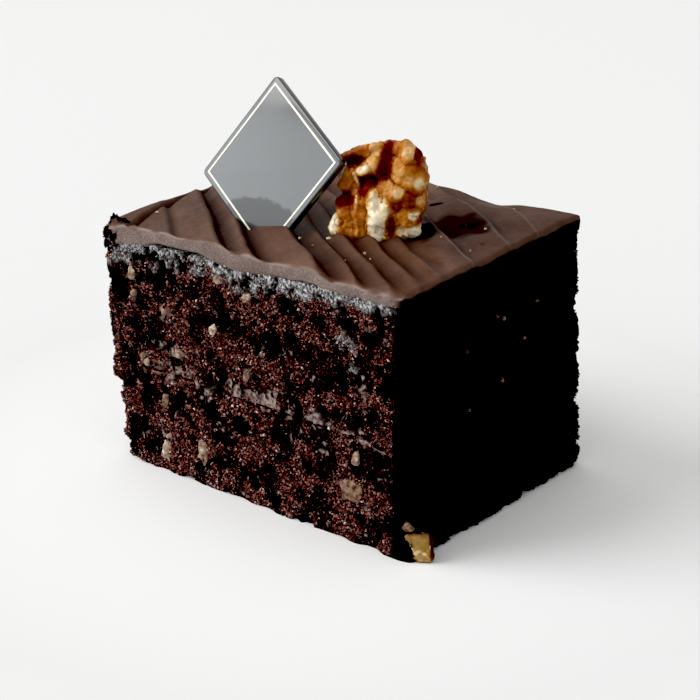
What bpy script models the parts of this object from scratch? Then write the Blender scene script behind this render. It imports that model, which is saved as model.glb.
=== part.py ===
"""Slice of walnut brownie cake, cut as a block.

Two layers of crumbly sponge with a thin filling between them, a frosting spread in slanting
ridges, a square chocolate plaque that stands on its corner, a candied walnut half behind it, and
a chunk of walnut that sticks out of the base at the front right corner.

Run it with blender --background --python part.py, or from the text editor. Metres, +Z up. X runs
along the long cut face, -Y is the front, and the origin is under the middle of the slice's box, on
the surface that it stands on.
"""

import math

import bmesh
import bpy
from mathutils import Euler, Matrix, Vector, noise

MM = 0.001

# Driving dimensions
LENGTH = 83.0 * MM
DEPTH = 60.5 * MM
HEIGHT = 57.0 * MM  # to the top of the frosting, at the middle of the slice
FILLING_FLOOR = 22.4 * MM
FILLING_THICK = 2.0 * MM
FROSTING_THICK = 4.5 * MM
GAP = 0.3 * MM  # left between pieces that touch

# How the hand-cut corners differ from a true box: the top's shift in x and y, and its rise in z
CORNER_LEAN = {
    (-1, -1): Vector((-0.3, -0.4, -2.2)) * MM,
    (1, -1): Vector((-1.5, -1.1, 0.2)) * MM,
    (1, 1): Vector((-2.3, -1.2, 1.9)) * MM,
    (-1, 1): Vector((0.6, 0.5, 0.0)) * MM,
}

# The crumb of the cut faces
ROUGHNESS = 0.7 * MM
LUMP_SIZE = 6.0 * MM
RUB = 0.9 * MM  # how far the lowest edge has crumbled away
RUB_HEIGHT = 4.0 * MM
# Crumb lost from the faces, or standing proud where the depth is below 0: centre, radius, depth
BITES = (
    (Vector((-42.0, -30.0, 13.0)) * MM, 4.5 * MM, 2.0 * MM),
    (Vector((-42.0, -30.0, 0.0)) * MM, 4.0 * MM, 1.4 * MM),
    (Vector((42.0, 30.0, 0.0)) * MM, 8.0 * MM, 5.0 * MM),
    (Vector((-42.0, -30.0, 50.5)) * MM, 4.5 * MM, -1.4 * MM),
)

# The filling sags and swells a little on its way through
FILLING_WAVE = 0.7 * MM
FILLING_WAVELENGTH = 26.0 * MM

# Frosting: strokes of a palette knife slant across the top, each one rising to a crest and then
# dropping steeply. A crest is given by its distance across the strokes and by its height.
STROKE_SLANT = math.radians(33.0)
CRESTS = (
    (-42.0 * MM, 0.8 * MM),
    (-30.0 * MM, 0.9 * MM),
    (-24.8 * MM, 1.0 * MM),
    (-15.9 * MM, 1.8 * MM),
    (-10.0 * MM, 1.0 * MM),
    (-5.4 * MM, 0.9 * MM),
    (1.0 * MM, 0.9 * MM),
    (5.7 * MM, 0.8 * MM),
    (15.2 * MM, 1.3 * MM),
    (25.6 * MM, 1.3 * MM),
    (37.2 * MM, 1.2 * MM),
    (50.0 * MM, 1.0 * MM),
)
CREST_MEAN = 0.4 * MM  # what the crests add on average, taken off so that HEIGHT stays true
CREST_DROP = 2.2 * MM  # width of the steep side of a crest
CREST_RISE = 1.7  # power of the curve that a stroke rises by
STROKE_CUTS = 3  # how many times the mesh is cut across each gentle rise
SHOULDER = 3.0 * MM  # width of the rounded edge of the frosting
SHOULDER_DROP = 0.9 * MM
LIP_PROUD = 0.6 * MM  # how far the frosting's cut side bulges past the crumb

# How many cells each block is cut into, along x, y and z
LOWER_CELLS = (15, 11, 5)
FILLING_CELLS = (15, 11, 1)
UPPER_CELLS = (15, 11, 6)
FROSTING_CELLS = (12, 9, 2)

# Plaque: its middle, its pose in degrees, and its size
PLAQUE_MIDDLE = Vector((-10.5, -11.5, 68.2)) * MM
PLAQUE_YAW = -2.4
PLAQUE_LEAN = 21.0
PLAQUE_SPIN = 13.5
PLAQUE_SIDE = 28.2 * MM
PLAQUE_THICK = 1.8 * MM
PLAQUE_CORNER = 1.2 * MM
PLAQUE_EDGE = 0.45 * MM

# Walnut half: its foot on the frosting, its pose in degrees, and its lobes in millimetres. A lobe
# is its centre (to the right, to the back and up from the foot) and its three half sizes.
WALNUT_FOOT = Vector((13.0, -5.2, 56.6)) * MM
WALNUT_TURN = 27.0
WALNUT_LEAN = 6.0
WALNUT_FINENESS = 1.3 * MM
WALNUT_LOBES = (
    ((0.5, 0.6, 10.0), (8.5, 3.6, 10.0)),
    ((-8.6, -1.4, 2.4), (2.8, 3.4, 3.8)),
    ((-5.4, -1.6, 4.6), (3.4, 3.8, 5.4)),
    ((1.2, -3.2, 4.6), (3.1, 3.4, 6.4)),
    ((8.0, -1.2, 1.6), (4.0, 3.6, 3.4)),
    ((9.4, -0.8, 6.8), (3.0, 3.2, 3.2)),
    ((5.6, -2.8, 11.0), (4.4, 3.6, 4.0)),
    ((10.4, 0.2, 13.6), (3.6, 3.6, 4.2)),
    ((8.4, 0.4, 19.2), (4.4, 3.8, 3.8)),
    ((-0.4, -1.4, 18.0), (3.8, 3.2, 3.8)),
    ((3.6, 0.6, 20.6), (3.6, 3.0, 2.8)),
    ((-6.2, 1.6, 16.2), (4.4, 2.8, 5.4)),
    ((-7.6, 1.4, 9.8), (4.0, 3.2, 5.0)),
    ((-5.6, 4.0, 5.6), (4.6, 3.4, 5.6)),
    ((1.4, 4.6, 8.4), (4.0, 3.0, 7.0)),
    ((6.6, 4.2, 5.4), (4.2, 3.2, 5.4)),
    ((6.4, 4.0, 14.8), (4.4, 3.2, 5.0)),
    ((-2.0, 4.2, 16.4), (4.4, 3.0, 4.4)),
)

# Chunk of walnut at the front right corner of the base
CHUNK_MIDDLE = Vector((43.0, -28.9, 4.2)) * MM
CHUNK_HALF = Vector((3.4, 2.8, 4.25)) * MM
CHUNK_TURN = 35.0


def clear_scene():
    for obj in list(bpy.data.objects):
        bpy.data.objects.remove(obj, do_unlink=True)


def smoothstep(share):
    share = min(max(share, 0.0), 1.0)
    return share * share * (3.0 - 2.0 * share)


def mix(low, high, share):
    return low + (high - low) * share


def lean_at(s, t):
    """The top's shift at s and t, which run from -1 to 1 across the length and the depth."""
    right, back = (s + 1.0) / 2.0, (t + 1.0) / 2.0
    front_edge = mix(CORNER_LEAN[-1, -1], CORNER_LEAN[1, -1], right)
    back_edge = mix(CORNER_LEAN[-1, 1], CORNER_LEAN[1, 1], right)
    return mix(front_edge, back_edge, back)


def face_push(point):
    """How far the crumb of a cut face stands proud at this point, or is lost where below 0."""
    push = ROUGHNESS * noise.noise(point / LUMP_SIZE)
    push -= RUB * max(0.0, 1.0 - point.z / RUB_HEIGHT) ** 2
    for centre, radius, depth in BITES:
        push -= depth * math.exp(-(((point - centre).length / radius) ** 2))
    return push


def outline(s, t, z):
    """The point of the slice at s and t, at height z, before the crumb pushes it."""
    shift = lean_at(s, t) * (z / HEIGHT)
    return Vector((s * LENGTH / 2.0 + shift.x, t * DEPTH / 2.0 + shift.y, z))


def crumb_point(s, t, z):
    point = outline(s, t, z)
    push = face_push(point)
    return point + Vector((s * push, t * push, 0.0))


def filling_middle(s, t):
    """Height of the middle of the filling."""
    here = outline(s, t, FILLING_FLOOR)
    wave = noise.noise(here / FILLING_WAVELENGTH + Vector((3.7, 1.2, 0.0)))
    return FILLING_FLOOR + FILLING_THICK / 2.0 + FILLING_WAVE * wave


def frosting_floor(s, t):
    return HEIGHT + lean_at(s, t).z - FROSTING_THICK


def stroke_height(x, y):
    """Height of the knife strokes at a place, from 0 in a trough to a crest's own height."""
    across = x * math.sin(STROKE_SLANT) + y * math.cos(STROKE_SLANT)
    for (before, crest_before), (crest_at, crest) in zip(CRESTS, CRESTS[1:]):
        if across < crest_at:
            break
    share = min(max((across - before) / (crest_at - before), 0.0), 1.0)
    rising = crest * share**CREST_RISE
    dropping = crest_before * (1.0 - smoothstep((across - before) / CREST_DROP))
    return max(rising, dropping)


def stroke_lines():
    """Distances across the strokes where the frosting's mesh is cut: crests, drops and rises."""
    lines = []
    for (crest_at, _), (following, _) in zip(CRESTS, CRESTS[1:]):
        foot = crest_at + CREST_DROP
        lines += [crest_at, crest_at + CREST_DROP / 2.0, foot]
        lines += [mix(foot, following, i / STROKE_CUTS) for i in range(1, STROKE_CUTS)]
    return lines


def frosting_top(s, t):
    here = outline(s, t, HEIGHT)
    inset = min((1.0 - abs(s)) * LENGTH / 2.0, (1.0 - abs(t)) * DEPTH / 2.0)
    shoulder = SHOULDER_DROP * (1.0 - smoothstep(inset / SHOULDER))
    strokes = stroke_height(here.x, here.y) - CREST_MEAN
    return HEIGHT + lean_at(s, t).z + strokes - shoulder


def material(name, colour, roughness):
    made = bpy.data.materials.new(name)
    made.use_nodes = True
    shader = made.node_tree.nodes["Principled BSDF"]
    shader.inputs["Base Color"].default_value = (*colour, 1.0)
    shader.inputs["Roughness"].default_value = roughness
    shader.inputs["Metallic"].default_value = 0.0
    return made


def object_from(bm, name, made_of):
    bmesh.ops.recalc_face_normals(bm, faces=bm.faces)
    mesh = bpy.data.meshes.new(name)
    bm.to_mesh(mesh)
    bm.free()
    mesh.materials.append(made_of)
    obj = bpy.data.objects.new(name, mesh)
    bpy.context.scene.collection.objects.link(obj)
    return obj


def cells(counts):
    """A cube from -1 to 1 cut into cells along each axis."""
    bm = bmesh.new()
    bmesh.ops.create_cube(bm, size=2.0)
    for axis, count in enumerate(counts):
        along = [e for e in bm.edges if abs(e.verts[0].co[axis] - e.verts[1].co[axis]) > 1.9]
        bmesh.ops.subdivide_edges(bm, edges=along, cuts=count - 1, use_grid_fill=True)
    return bm


def block(name, bm, place, made_of):
    """The cut cube, with each point put in place by a function."""
    for vert in bm.verts:
        vert.co = place(*vert.co)
    return object_from(bm, name, made_of)


def cut_top(bm, point, normal):
    """Cuts the upper faces along a vertical plane, and leaves the mesh closed."""
    bm.normal_update()
    top = [f for f in bm.faces if f.normal.z > 0.5]
    edges = {e for f in top for e in f.edges}
    verts = {v for f in top for v in f.verts}
    bmesh.ops.bisect_plane(
        bm, geom=[*verts, *edges, *top], dist=1e-4, plane_co=point, plane_no=normal
    )


def lower_sponge(made_of):
    def place(s, t, up):
        top = filling_middle(s, t) - FILLING_THICK / 2.0 - GAP
        return crumb_point(s, t, top * (up + 1.0) / 2.0)

    return block("lower_sponge", cells(LOWER_CELLS), place, made_of)


def filling(made_of):
    def place(s, t, up):
        return crumb_point(s, t, filling_middle(s, t) + up * FILLING_THICK / 2.0)

    return block("filling", cells(FILLING_CELLS), place, made_of)


def upper_sponge(made_of):
    def place(s, t, up):
        floor = filling_middle(s, t) + FILLING_THICK / 2.0 + GAP
        top = frosting_floor(s, t) - GAP
        return crumb_point(s, t, mix(floor, top, (up + 1.0) / 2.0))

    return block("upper_sponge", cells(UPPER_CELLS), place, made_of)


def frosting(made_of):
    """The frosting bulges past the crumb below and rounds off to its top edge."""

    def place(s, t, up):
        share = (up + 1.0) / 2.0
        z = mix(frosting_floor(s, t), frosting_top(s, t), share)
        point = outline(s, t, z)
        bulge = LIP_PROUD * math.sin(math.pi * min(share + 0.25, 1.0))
        return point + Vector((s * bulge, t * bulge, 0.0))

    bm = cells(FROSTING_CELLS)
    across = Vector((math.sin(STROKE_SLANT) * LENGTH, math.cos(STROKE_SLANT) * DEPTH, 0.0)) / 2.0
    for line in stroke_lines():
        cut_top(bm, across * line / across.length_squared, across)
    for inset in (SHOULDER, SHOULDER / 2.0):
        for side in (-1.0, 1.0):
            cut_top(bm, Vector((side * (1.0 - 2.0 * inset / LENGTH), 0.0, 0.0)), Vector((1, 0, 0)))
            cut_top(bm, Vector((0.0, side * (1.0 - 2.0 * inset / DEPTH), 0.0)), Vector((0, 1, 0)))
    return block("frosting", bm, place, made_of)


def plaque(made_of):
    """A square plate with rounded corners and edges, turned to stand on one corner."""
    bm = bmesh.new()
    size = Matrix.Diagonal((PLAQUE_SIDE, PLAQUE_THICK, PLAQUE_SIDE, 1.0))
    bmesh.ops.create_cube(bm, size=1.0, matrix=size)
    corners = [e for e in bm.edges if abs(e.verts[0].co.y - e.verts[1].co.y) > PLAQUE_THICK / 2.0]
    bmesh.ops.bevel(bm, geom=corners, offset=PLAQUE_CORNER, segments=3, affect="EDGES", profile=0.5)
    rims = [e for e in bm.edges if abs(e.verts[0].co.y - e.verts[1].co.y) < PLAQUE_THICK / 2.0]
    bmesh.ops.bevel(bm, geom=rims, offset=PLAQUE_EDGE, segments=2, affect="EDGES", profile=0.5)
    obj = object_from(bm, "plaque", made_of)
    spin = Matrix.Rotation(math.radians(45.0 - PLAQUE_SPIN), 4, "Y")
    lean = Matrix.Rotation(math.radians(-PLAQUE_LEAN), 4, "X")
    yaw = Matrix.Rotation(math.radians(PLAQUE_YAW), 4, "Z")
    obj.rotation_euler = (yaw @ lean @ spin).to_euler()
    obj.location = PLAQUE_MIDDLE
    return obj


def walnut_half(made_of):
    """Lobes melted together by a remesh into one knobbly body."""
    bm = bmesh.new()
    for centre, half_sizes in WALNUT_LOBES:
        sizes = Matrix.Diagonal((*(Vector(half_sizes) * MM), 1.0))
        place = Matrix.Translation(Vector(centre) * MM) @ sizes
        bmesh.ops.create_icosphere(bm, subdivisions=3, radius=1.0, matrix=place)
    obj = object_from(bm, "walnut_half", made_of)
    melt = obj.modifiers.new("melt", "REMESH")
    melt.mode = "VOXEL"
    melt.voxel_size = WALNUT_FINENESS
    soften = obj.modifiers.new("soften", "SMOOTH")
    soften.factor = 0.5
    soften.iterations = 3
    obj.rotation_euler = Euler((math.radians(-WALNUT_LEAN), 0.0, math.radians(WALNUT_TURN)))
    obj.location = WALNUT_FOOT
    return obj


def corner_walnut(made_of):
    """A broken chunk: a lumpy ball with a flat foot on the surface that the slice stands on."""
    bm = bmesh.new()
    bmesh.ops.create_icosphere(bm, subdivisions=2, radius=1.0)
    turn = Matrix.Rotation(math.radians(CHUNK_TURN), 3, "Z")
    for vert in bm.verts:
        facet = 1.0 + 0.28 * noise.noise(vert.co * 1.3 + Vector((5.1, 0.4, 2.2)))
        local = Vector(a * b for a, b in zip(vert.co * facet, CHUNK_HALF))
        vert.co = turn @ local
        vert.co.z = max(vert.co.z, -CHUNK_MIDDLE.z)
    obj = object_from(bm, "corner_walnut", made_of)
    obj.location = CHUNK_MIDDLE
    return obj


def carve(obj, tool, room):
    """Cuts room for the tool out of obj, a little larger than the tool all round."""
    cutter = tool.copy()
    cutter.name = f"room_for_{tool.name}_in_{obj.name}"
    bpy.context.scene.collection.objects.link(cutter)
    cutter.hide_render = True
    cutter.display_type = "WIRE"
    swell = cutter.modifiers.new("swell", "DISPLACE")
    swell.mid_level = 0.0
    swell.strength = room
    cut = obj.modifiers.new(f"room_for_{tool.name}", "BOOLEAN")
    cut.operation = "DIFFERENCE"
    cut.solver = "EXACT"
    cut.object = cutter
    return cutter


def stand_on_origin(pieces, helpers):
    """Parents everything to one empty, and moves that so the slice's box stands on the origin."""
    bpy.context.view_layer.update()
    graph = bpy.context.evaluated_depsgraph_get()
    points = []
    for piece in pieces:
        solid = piece.evaluated_get(graph)
        points += [solid.matrix_world @ vert.co for vert in solid.data.vertices]
    low = Vector(min(p[i] for p in points) for i in range(3))
    high = Vector(max(p[i] for p in points) for i in range(3))
    stand = bpy.data.objects.new("slice", None)
    bpy.context.scene.collection.objects.link(stand)
    for obj in (*pieces, *helpers):
        obj.parent = stand
    stand.location = (-(low.x + high.x) / 2.0, -(low.y + high.y) / 2.0, -low.z)


def main():
    clear_scene()
    crumb = material("sponge", (0.035, 0.012, 0.008), 0.9)
    cream = material("filling", (0.085, 0.05, 0.04), 0.6)
    spread = material("frosting", (0.12, 0.07, 0.055), 0.5)
    chocolate = material("plaque", (0.03, 0.022, 0.02), 0.25)
    candied = material("walnut", (0.45, 0.2, 0.06), 0.35)

    lower, middle, upper = lower_sponge(crumb), filling(cream), upper_sponge(crumb)
    top = frosting(spread)
    plate, nut, chunk = plaque(chocolate), walnut_half(candied), corner_walnut(candied)
    helpers = [
        carve(top, plate, GAP),
        carve(upper, plate, GAP),
        carve(top, nut, GAP),
        carve(upper, nut, GAP),
        carve(lower, chunk, GAP),
    ]
    stand_on_origin((lower, middle, upper, top, plate, nut, chunk), helpers)


main()
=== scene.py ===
import math

import bmesh
import bpy
import numpy as np
from mathutils import Matrix, Vector, noise


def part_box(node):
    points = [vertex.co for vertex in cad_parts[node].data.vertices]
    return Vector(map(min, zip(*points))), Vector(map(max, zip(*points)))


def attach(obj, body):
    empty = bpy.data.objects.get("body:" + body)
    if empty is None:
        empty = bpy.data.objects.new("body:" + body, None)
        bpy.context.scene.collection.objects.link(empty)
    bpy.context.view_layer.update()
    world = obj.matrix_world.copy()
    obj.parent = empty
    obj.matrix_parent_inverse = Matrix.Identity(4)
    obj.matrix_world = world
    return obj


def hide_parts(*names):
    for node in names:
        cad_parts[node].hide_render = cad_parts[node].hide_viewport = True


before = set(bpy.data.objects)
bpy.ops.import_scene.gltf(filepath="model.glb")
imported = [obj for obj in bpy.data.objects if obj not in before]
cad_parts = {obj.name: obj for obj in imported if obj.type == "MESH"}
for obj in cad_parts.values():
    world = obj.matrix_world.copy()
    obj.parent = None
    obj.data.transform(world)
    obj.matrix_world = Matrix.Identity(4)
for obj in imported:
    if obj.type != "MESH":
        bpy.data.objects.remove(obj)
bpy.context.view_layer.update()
mm = 0.001

# The slice in millimetres. It was cut by hand, so each top corner leans by its own x, y and z.
slab = {
    "length": 83.0,
    "depth": 60.5,
    "height": 57.0,
    "cornerRadius": 1.3,
    "swell": 0.6,  # the crumb and the frosting's edge stand this far out of the knife's flat cut
    "swellRight": 1.1,  # and the right side this much more
    "frontLean": ((-0.3, -0.4, -2.2), (-1.5, -1.1, 0.2)),  # left corner, right corner
    "backLean": ((0.6, 0.5, 0.0), (-2.3, -1.2, 1.9)),
    "plaqueMiddle": (-10.5, -11.5, 68.2),
}

# All pieces are shaped round the middle of the slice's foot, which the plaque's box gives
plaqueLow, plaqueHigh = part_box("plaque")
foot = (plaqueLow + plaqueHigh) / 2 - Vector(slab["plaqueMiddle"]) * mm
print("the slice's foot is at", [round(v / mm, 2) for v in foot], "mm")


def toLinear(hexCode):
    channels = [int(hexCode[i : i + 2], 16) / 255 for i in (1, 3, 5)]
    return [c / 12.92 if c <= 0.04045 else ((c + 0.055) / 1.055) ** 2.4 for c in channels] + [1.0]


def setNode(node, settings=None, links=None):
    for name, value in (settings or {}).items():
        if name == "stops":  # a ramp's stops, each a place and a colour or a grey
            for index, (place, shade) in enumerate(value):
                stops = node.color_ramp.elements
                stop = stops[index] if index < 2 else stops.new(place)
                stop.position = place
                stop.color = toLinear(shade) if isinstance(shade, str) else (shade, shade, shade, 1)
        elif isinstance(name, int) or name in node.inputs:
            node.inputs[name].default_value = toLinear(value) if isinstance(value, str) else value
        else:
            setattr(node, name, value)
    for name, source in (links or {}).items():
        if isinstance(source, bpy.types.Node):  # a node stands for the first output that it uses
            source = next(output for output in source.outputs if output.enabled)
        node.id_data.links.new(source, node.inputs[name])


def addNode(tree, kind, settings=None, links=None):
    node = tree.nodes.new("ShaderNode" + kind)
    setNode(node, settings, links)
    return node


def startMaterial(name):
    material = bpy.data.materials.new(name)
    material.use_nodes = True
    return material, material.node_tree, material.node_tree.nodes["Principled BSDF"]


def perMm(size):
    return 1 / (size * mm)


def selectOnly(*pieces):
    bpy.ops.object.select_all(action="DESELECT")
    for piece in pieces:
        piece.select_set(True)
        bpy.context.view_layer.objects.active = piece


def applyModifier(piece, kind, **settings):
    selectOnly(piece)
    modifier = piece.modifiers.new(kind.lower(), kind)
    for name, value in settings.items():
        setattr(modifier, name, value)
    bpy.ops.object.modifier_apply(modifier=modifier.name)


def startEdit(piece, kind="FACE"):
    selectOnly(piece)
    bpy.ops.object.mode_set(mode="EDIT")
    bpy.ops.mesh.select_mode(type=kind)
    bpy.ops.mesh.select_all(action="DESELECT")


def select(piece, parts, test):
    # Selects the edges or the faces that pass the test, by their place or shape
    net = bmesh.from_edit_mesh(piece.data)
    for part in getattr(net, parts):
        part.select_set(bool(test(part)))
    bmesh.update_edit_mesh(piece.data)


def pokeCaps(piece):
    select(piece, "faces", lambda face: len(face.verts) > 4)
    bpy.ops.mesh.poke()


def endEdit():
    bpy.ops.object.mode_set(mode="OBJECT")


def faceOutwards(piece):
    startEdit(piece)
    bpy.ops.mesh.select_all(action="SELECT")
    bpy.ops.mesh.normals_make_consistent(inside=False)
    endEdit()


def joinInto(first, pieces):
    selectOnly(*pieces, first)
    bpy.ops.object.join()
    return bpy.context.object


def settle(piece):
    selectOnly(piece)
    bpy.ops.object.transform_apply(location=True, rotation=True, scale=True)


def getPoints(piece):
    points = np.empty(len(piece.data.vertices) * 3)
    piece.data.vertices.foreach_get("co", points)
    return (points.reshape(-1, 3) - np.array(foot)) / mm


def setPoints(piece, points):
    piece.data.vertices.foreach_set("co", (points * mm + np.array(foot)).ravel())
    piece.data.update()


def getNormals(piece):
    normals = np.empty(len(piece.data.vertices) * 3)
    piece.data.vertices.foreach_get("normal", normals)
    return normals.reshape(-1, 3)


def setValues(piece, name, values):
    layer = piece.data.attributes.get(name) or piece.data.attributes.new(name, "FLOAT", "POINT")
    layer.data.foreach_set("value", np.asarray(values, np.float32))


def meshFrom(points, faces):
    mesh = bpy.data.meshes.new("joined")
    mesh.from_pydata((points * mm + np.array(foot)).tolist(), [], faces.tolist())
    piece = bpy.data.objects.new("joined", mesh)
    bpy.context.scene.collection.objects.link(piece)
    return piece


def shadeSmooth(piece, angle=None):
    selectOnly(piece)
    if angle is None:
        bpy.ops.object.shade_smooth()
    else:
        bpy.ops.object.shade_smooth_by_angle(angle=math.radians(angle))


def finishPiece(piece, name, material, nodes=()):
    settle(piece)
    piece.name = name
    piece.data.name = name
    piece.data.materials.clear()
    piece.data.materials.append(material)
    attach(piece, "root")
    if nodes:
        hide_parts(*nodes)
    print("made", name, "of", sum(len(face.vertices) - 2 for face in piece.data.polygons), "triangles")


def smooth(share):
    share = np.clip(share, 0, 1)
    return share * share * (3 - 2 * share)


def noiseAt(points, size, shift=0.0):
    places = points / size + np.array([shift, -shift, shift * 0.6])
    return np.array([noise.noise(place) for place in places.tolist()])


def roughAt(points, noises):
    return sum(strong * noiseAt(points, wide, shift) for strong, wide, shift in noises)


def leanAt(x, y):
    right = np.asarray(x / slab["length"] + 0.5)[..., None]
    back = np.asarray(y / slab["depth"] + 0.5)[..., None]
    front, rear = (np.array(slab[side]) for side in ("frontLean", "backLean"))
    front = front[0] * (1 - right) + front[1] * right
    rear = rear[0] * (1 - right) + rear[1] * right
    return front * (1 - back) + rear * back


def leaned(x, y, z):
    lean = leanAt(x, y) * np.asarray(z / slab["height"])[..., None]
    return np.stack([x + lean[..., 0], y + lean[..., 1], z + np.zeros_like(x)], axis=-1)


def walkRound(share):
    # Places and outward directions along the slice's outline, by the share of the way round
    halfLength, halfDepth, radius = slab["length"] / 2, slab["depth"] / 2, slab["cornerRadius"]
    stops = []
    for quarter, (right, back) in enumerate(((1, 1), (-1, 1), (-1, -1), (1, -1))):
        for step in range(7):
            angle = (quarter + step / 6) * math.pi / 2
            out = (math.cos(angle), math.sin(angle))
            middle = (right * (halfLength - radius), back * (halfDepth - radius))
            stops.append((middle[0] + radius * out[0], middle[1] + radius * out[1], *out))
    stops = np.array([*stops, stops[0]])
    way = np.concatenate([[0], np.cumsum(np.hypot(*np.diff(stops[:, :2], axis=0).T))])
    return [np.interp(share * way[-1], way, stops[:, k]) for k in range(4)]


# The frosting's front lip: its upper and lower edges, each x and z
lipTop = (
    (-41.5, 53.5), (-39.1, 54.3), (-36.0, 55.3), (-33.1, 55.9), (-19.3, 56.0), (-10.3, 56.8), (-3.0, 55.9),
    (10.7, 56.2), (16.1, 56.7), (23.0, 55.9), (35.6, 56.0), (41.5, 55.8),
)
lipFoot = (
    (-41.5, 50.0), (-33.5, 50.6), (-29.2, 51.3), (-26.3, 52.6), (-19.5, 52.7), (-14.4, 53.3), (-7.8, 52.3),
    (-3.6, 51.4), (0.2, 52.0), (8.9, 53.0), (14.3, 53.4), (28.0, 53.3), (41.5, 53.4),
)
# How far down the knife smeared frosting over the front, each x and z
filmFoot = (
    (-41.5, 44.6), (-30.9, 47.1), (-20.8, 46.3), (-10.9, 48.1), (-2.3, 46.3), (7.0, 47.7), (14.2, 49.4),
    (23.0, 50.0), (31.5, 50.6), (41.5, 51.3),
)

# The left side's bulge, each height and how far out
leftBulge = (
    (0, -2.4), (2.4, -2.2), (4.7, -0.8), (11, -1.8), (17.2, -1.7), (18.8, 0.5), (30, 0.6), (44, 1.1),
    (57, 1.3),
)

# Crumb: what a knife and crumbling leave of a dark sponge. Sizes in mm.
crumb = {
    "cell": 0.33,
    # The size of the lumps and how far they stand out, from coarse to fine
    "grades": ((6.5, 0.95), (2.6, 0.65), (1.3, 0.45), (0.75, 0.3)),
    "caves": ((1.0, 3.1, 31), (0.4, 1.3, 47)),  # each noise: how strong, how wide, its shift
    "ragged": ((1.2, 1.2, 60), (0.9, 3.4, 66)),  # the edges of patches
    "filmRagged": ((0.9, 1.2, 60), (0.5, 0.5, 61)),
    "linked": ((1.0, 2.4, 120), (0.7, 0.9, 121)),  # odd smeared bits
    "caveFrom": 0.3,  # less gives more caves
    "filmProud": 0.6,
    "lipFilm": 2.2,  # how far below the lip the film is whole
    "caveDepth": 2.0,
    "creaseCell": 1.9,
    "creaseDepth": 0.35,
    "rub": 0.7,  # how far the foot is rubbed back, below rubHeight
    "rubHeight": 1.8,
    "flare": 2.2,  # how far the front's foot sags forward, below flareHeight
    "flareHeight": 9.0,
    "flareFrom": -38.0,  # x where it begins
    "backWaver": 7.0,  # how far the left side's bulge strays up and down towards the back
    "upAndDown": 0.25,
    "proud": 1.75,  # nothing stands further out than this, so that the slice keeps its size
    "proudAcross": 1.35,  # the same for the front and the back
    "footWave": 1.1,  # how far the foot's edge wavers back from that
    "chain": 1.3,  # the crumbs that catch the light lie in chains, this far apart
    "chainWide": 0.11,  # less gives thinner chains
    "grains": 24500,  # loose crumbs in a piece
    "grainRadius": (0.11, 0.17),  # the least, and how much more the largest have
    "clearOfFloor": 0.4,  # no loose crumbs below this
    "lostInSmears": 0.85,  # the share of them that the smears lack, and so on
    "lostInFilm": 0.75,
    "lostOnRight": 0.5,
    "strays": 0.05,  # how many lie away from the chains
    "frontMore": 1.6,  # how many times more the front has
    "bareSize": 4.6,  # the size of the patches without any
    "overlap": 0.35,  # how far each layer reaches into the filling
    "underFrosting": 3.0,  # how far below the slice's top the crumb ends
}
# Holes that the knife opened in the front: x and z of the middle, half the width and the height
holes = (
    (-25.5, 46.0, 2.5, 4.0), (-32.5, 48.7, 2.0, 1.4), (-7.7, 39.9, 2.3, 2.3), (-37.9, 39.0, 1.5, 1.6),
    (-32.6, 37.4, 1.8, 2.0), (0.1, 50.3, 1.4, 2.1), (-18.6, 50.0, 2.0, 1.5), (6.9, 38.2, 2.4, 4.0),
    (27.6, 47.1, 2.8, 1.8), (11.3, 47.2, 1.6, 1.6), (37.1, 36.4, 3.4, 2.2), (25.1, 35.8, 2.1, 2.2),
    (32.9, 44.8, 2.4, 2.0), (-11.2, 24.9, 2.2, 2.2), (-24.9, 16.7, 2.0, 2.8), (-31.9, 30.3, 1.4, 1.4),
    (-9.0, 27.8, 1.7, 1.6), (-3.0, 17.2, 2.4, 2.2), (7.3, 18.5, 2.6, 3.0), (0.5, 4.9, 1.8, 1.7),
    (7.6, 2.9, 1.9, 1.6), (14.9, 1.0, 2.4, 1.5), (38.2, 6.8, 2.2, 2.4), (10.5, 30.5, 1.6, 1.5),
    (16.2, 13.4, 1.9, 1.8), (20.8, 26.6, 2.0, 1.4),
)
# Smeared patches, where the knife pressed crumb and filling flat
smears = (
    (-34.8, 44.8, 1.1, 1.6), (-0.3, 46.7, 1.2, 1.1), (-24.7, 38.0, 1.2, 1.0), (-20.9, 29.0, 2.1, 1.0),
    (-0.5, 29.5, 1.0, 1.3), (31.1, 33.4, 0.9, 1.6), (17.9, 25.4, 2.0, 1.9),
    (22.0, 24.4, 1.8, 0.5), (25.9, 23.9, 2.0, 0.5), (30.6, 23.0, 2.0, 0.5), (35.3, 22.2, 1.6, 0.6),
    (-3.8, 24.5, 1.8, 1.1), (0.7, 24.9, 2.6, 1.2), (5.6, 24.6, 2.0, 0.9), (-27.6, 24.5, 1.6, 1.0),
    (-24.0, 22.8, 1.2, 1.3), (-18.4, 25.6, 2.0, 1.1), (-16.1, 22.6, 1.0, 1.8), (-12.8, 22.4, 1.2, 1.4),
    (-20.6, 21.8, 1.4, 0.7), (-1.3, 52.4, 1.8, 1.1),
)
# Spots where a film of frosting went down the front with the knife
filmSpots = ((27.0, 43.3, 2.6, 1.5), (28.6, 38.2, 1.6, 0.9), (32.8, 46.8, 1.0, 1.6))
filling = {
    "middle": 23.4, "wave": 0.7, "waveSize": 26.0, "waveShift": (3.7, 1.2, 0.0),
    "thick": 2.0,  # in the CAD model
    "shown": 1.6,  # here, where the crumb reaches over it
}


def fillingMiddle(x, y):
    # The same wave as the CAD model's
    here = np.stack([x, y, np.full_like(x, filling["middle"] - filling["thick"] / 2)], axis=-1)
    here = here / filling["waveSize"] + np.array(filling["waveShift"])
    return filling["middle"] + filling["wave"] * np.array([noise.noise(place) for place in here.tolist()])


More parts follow.
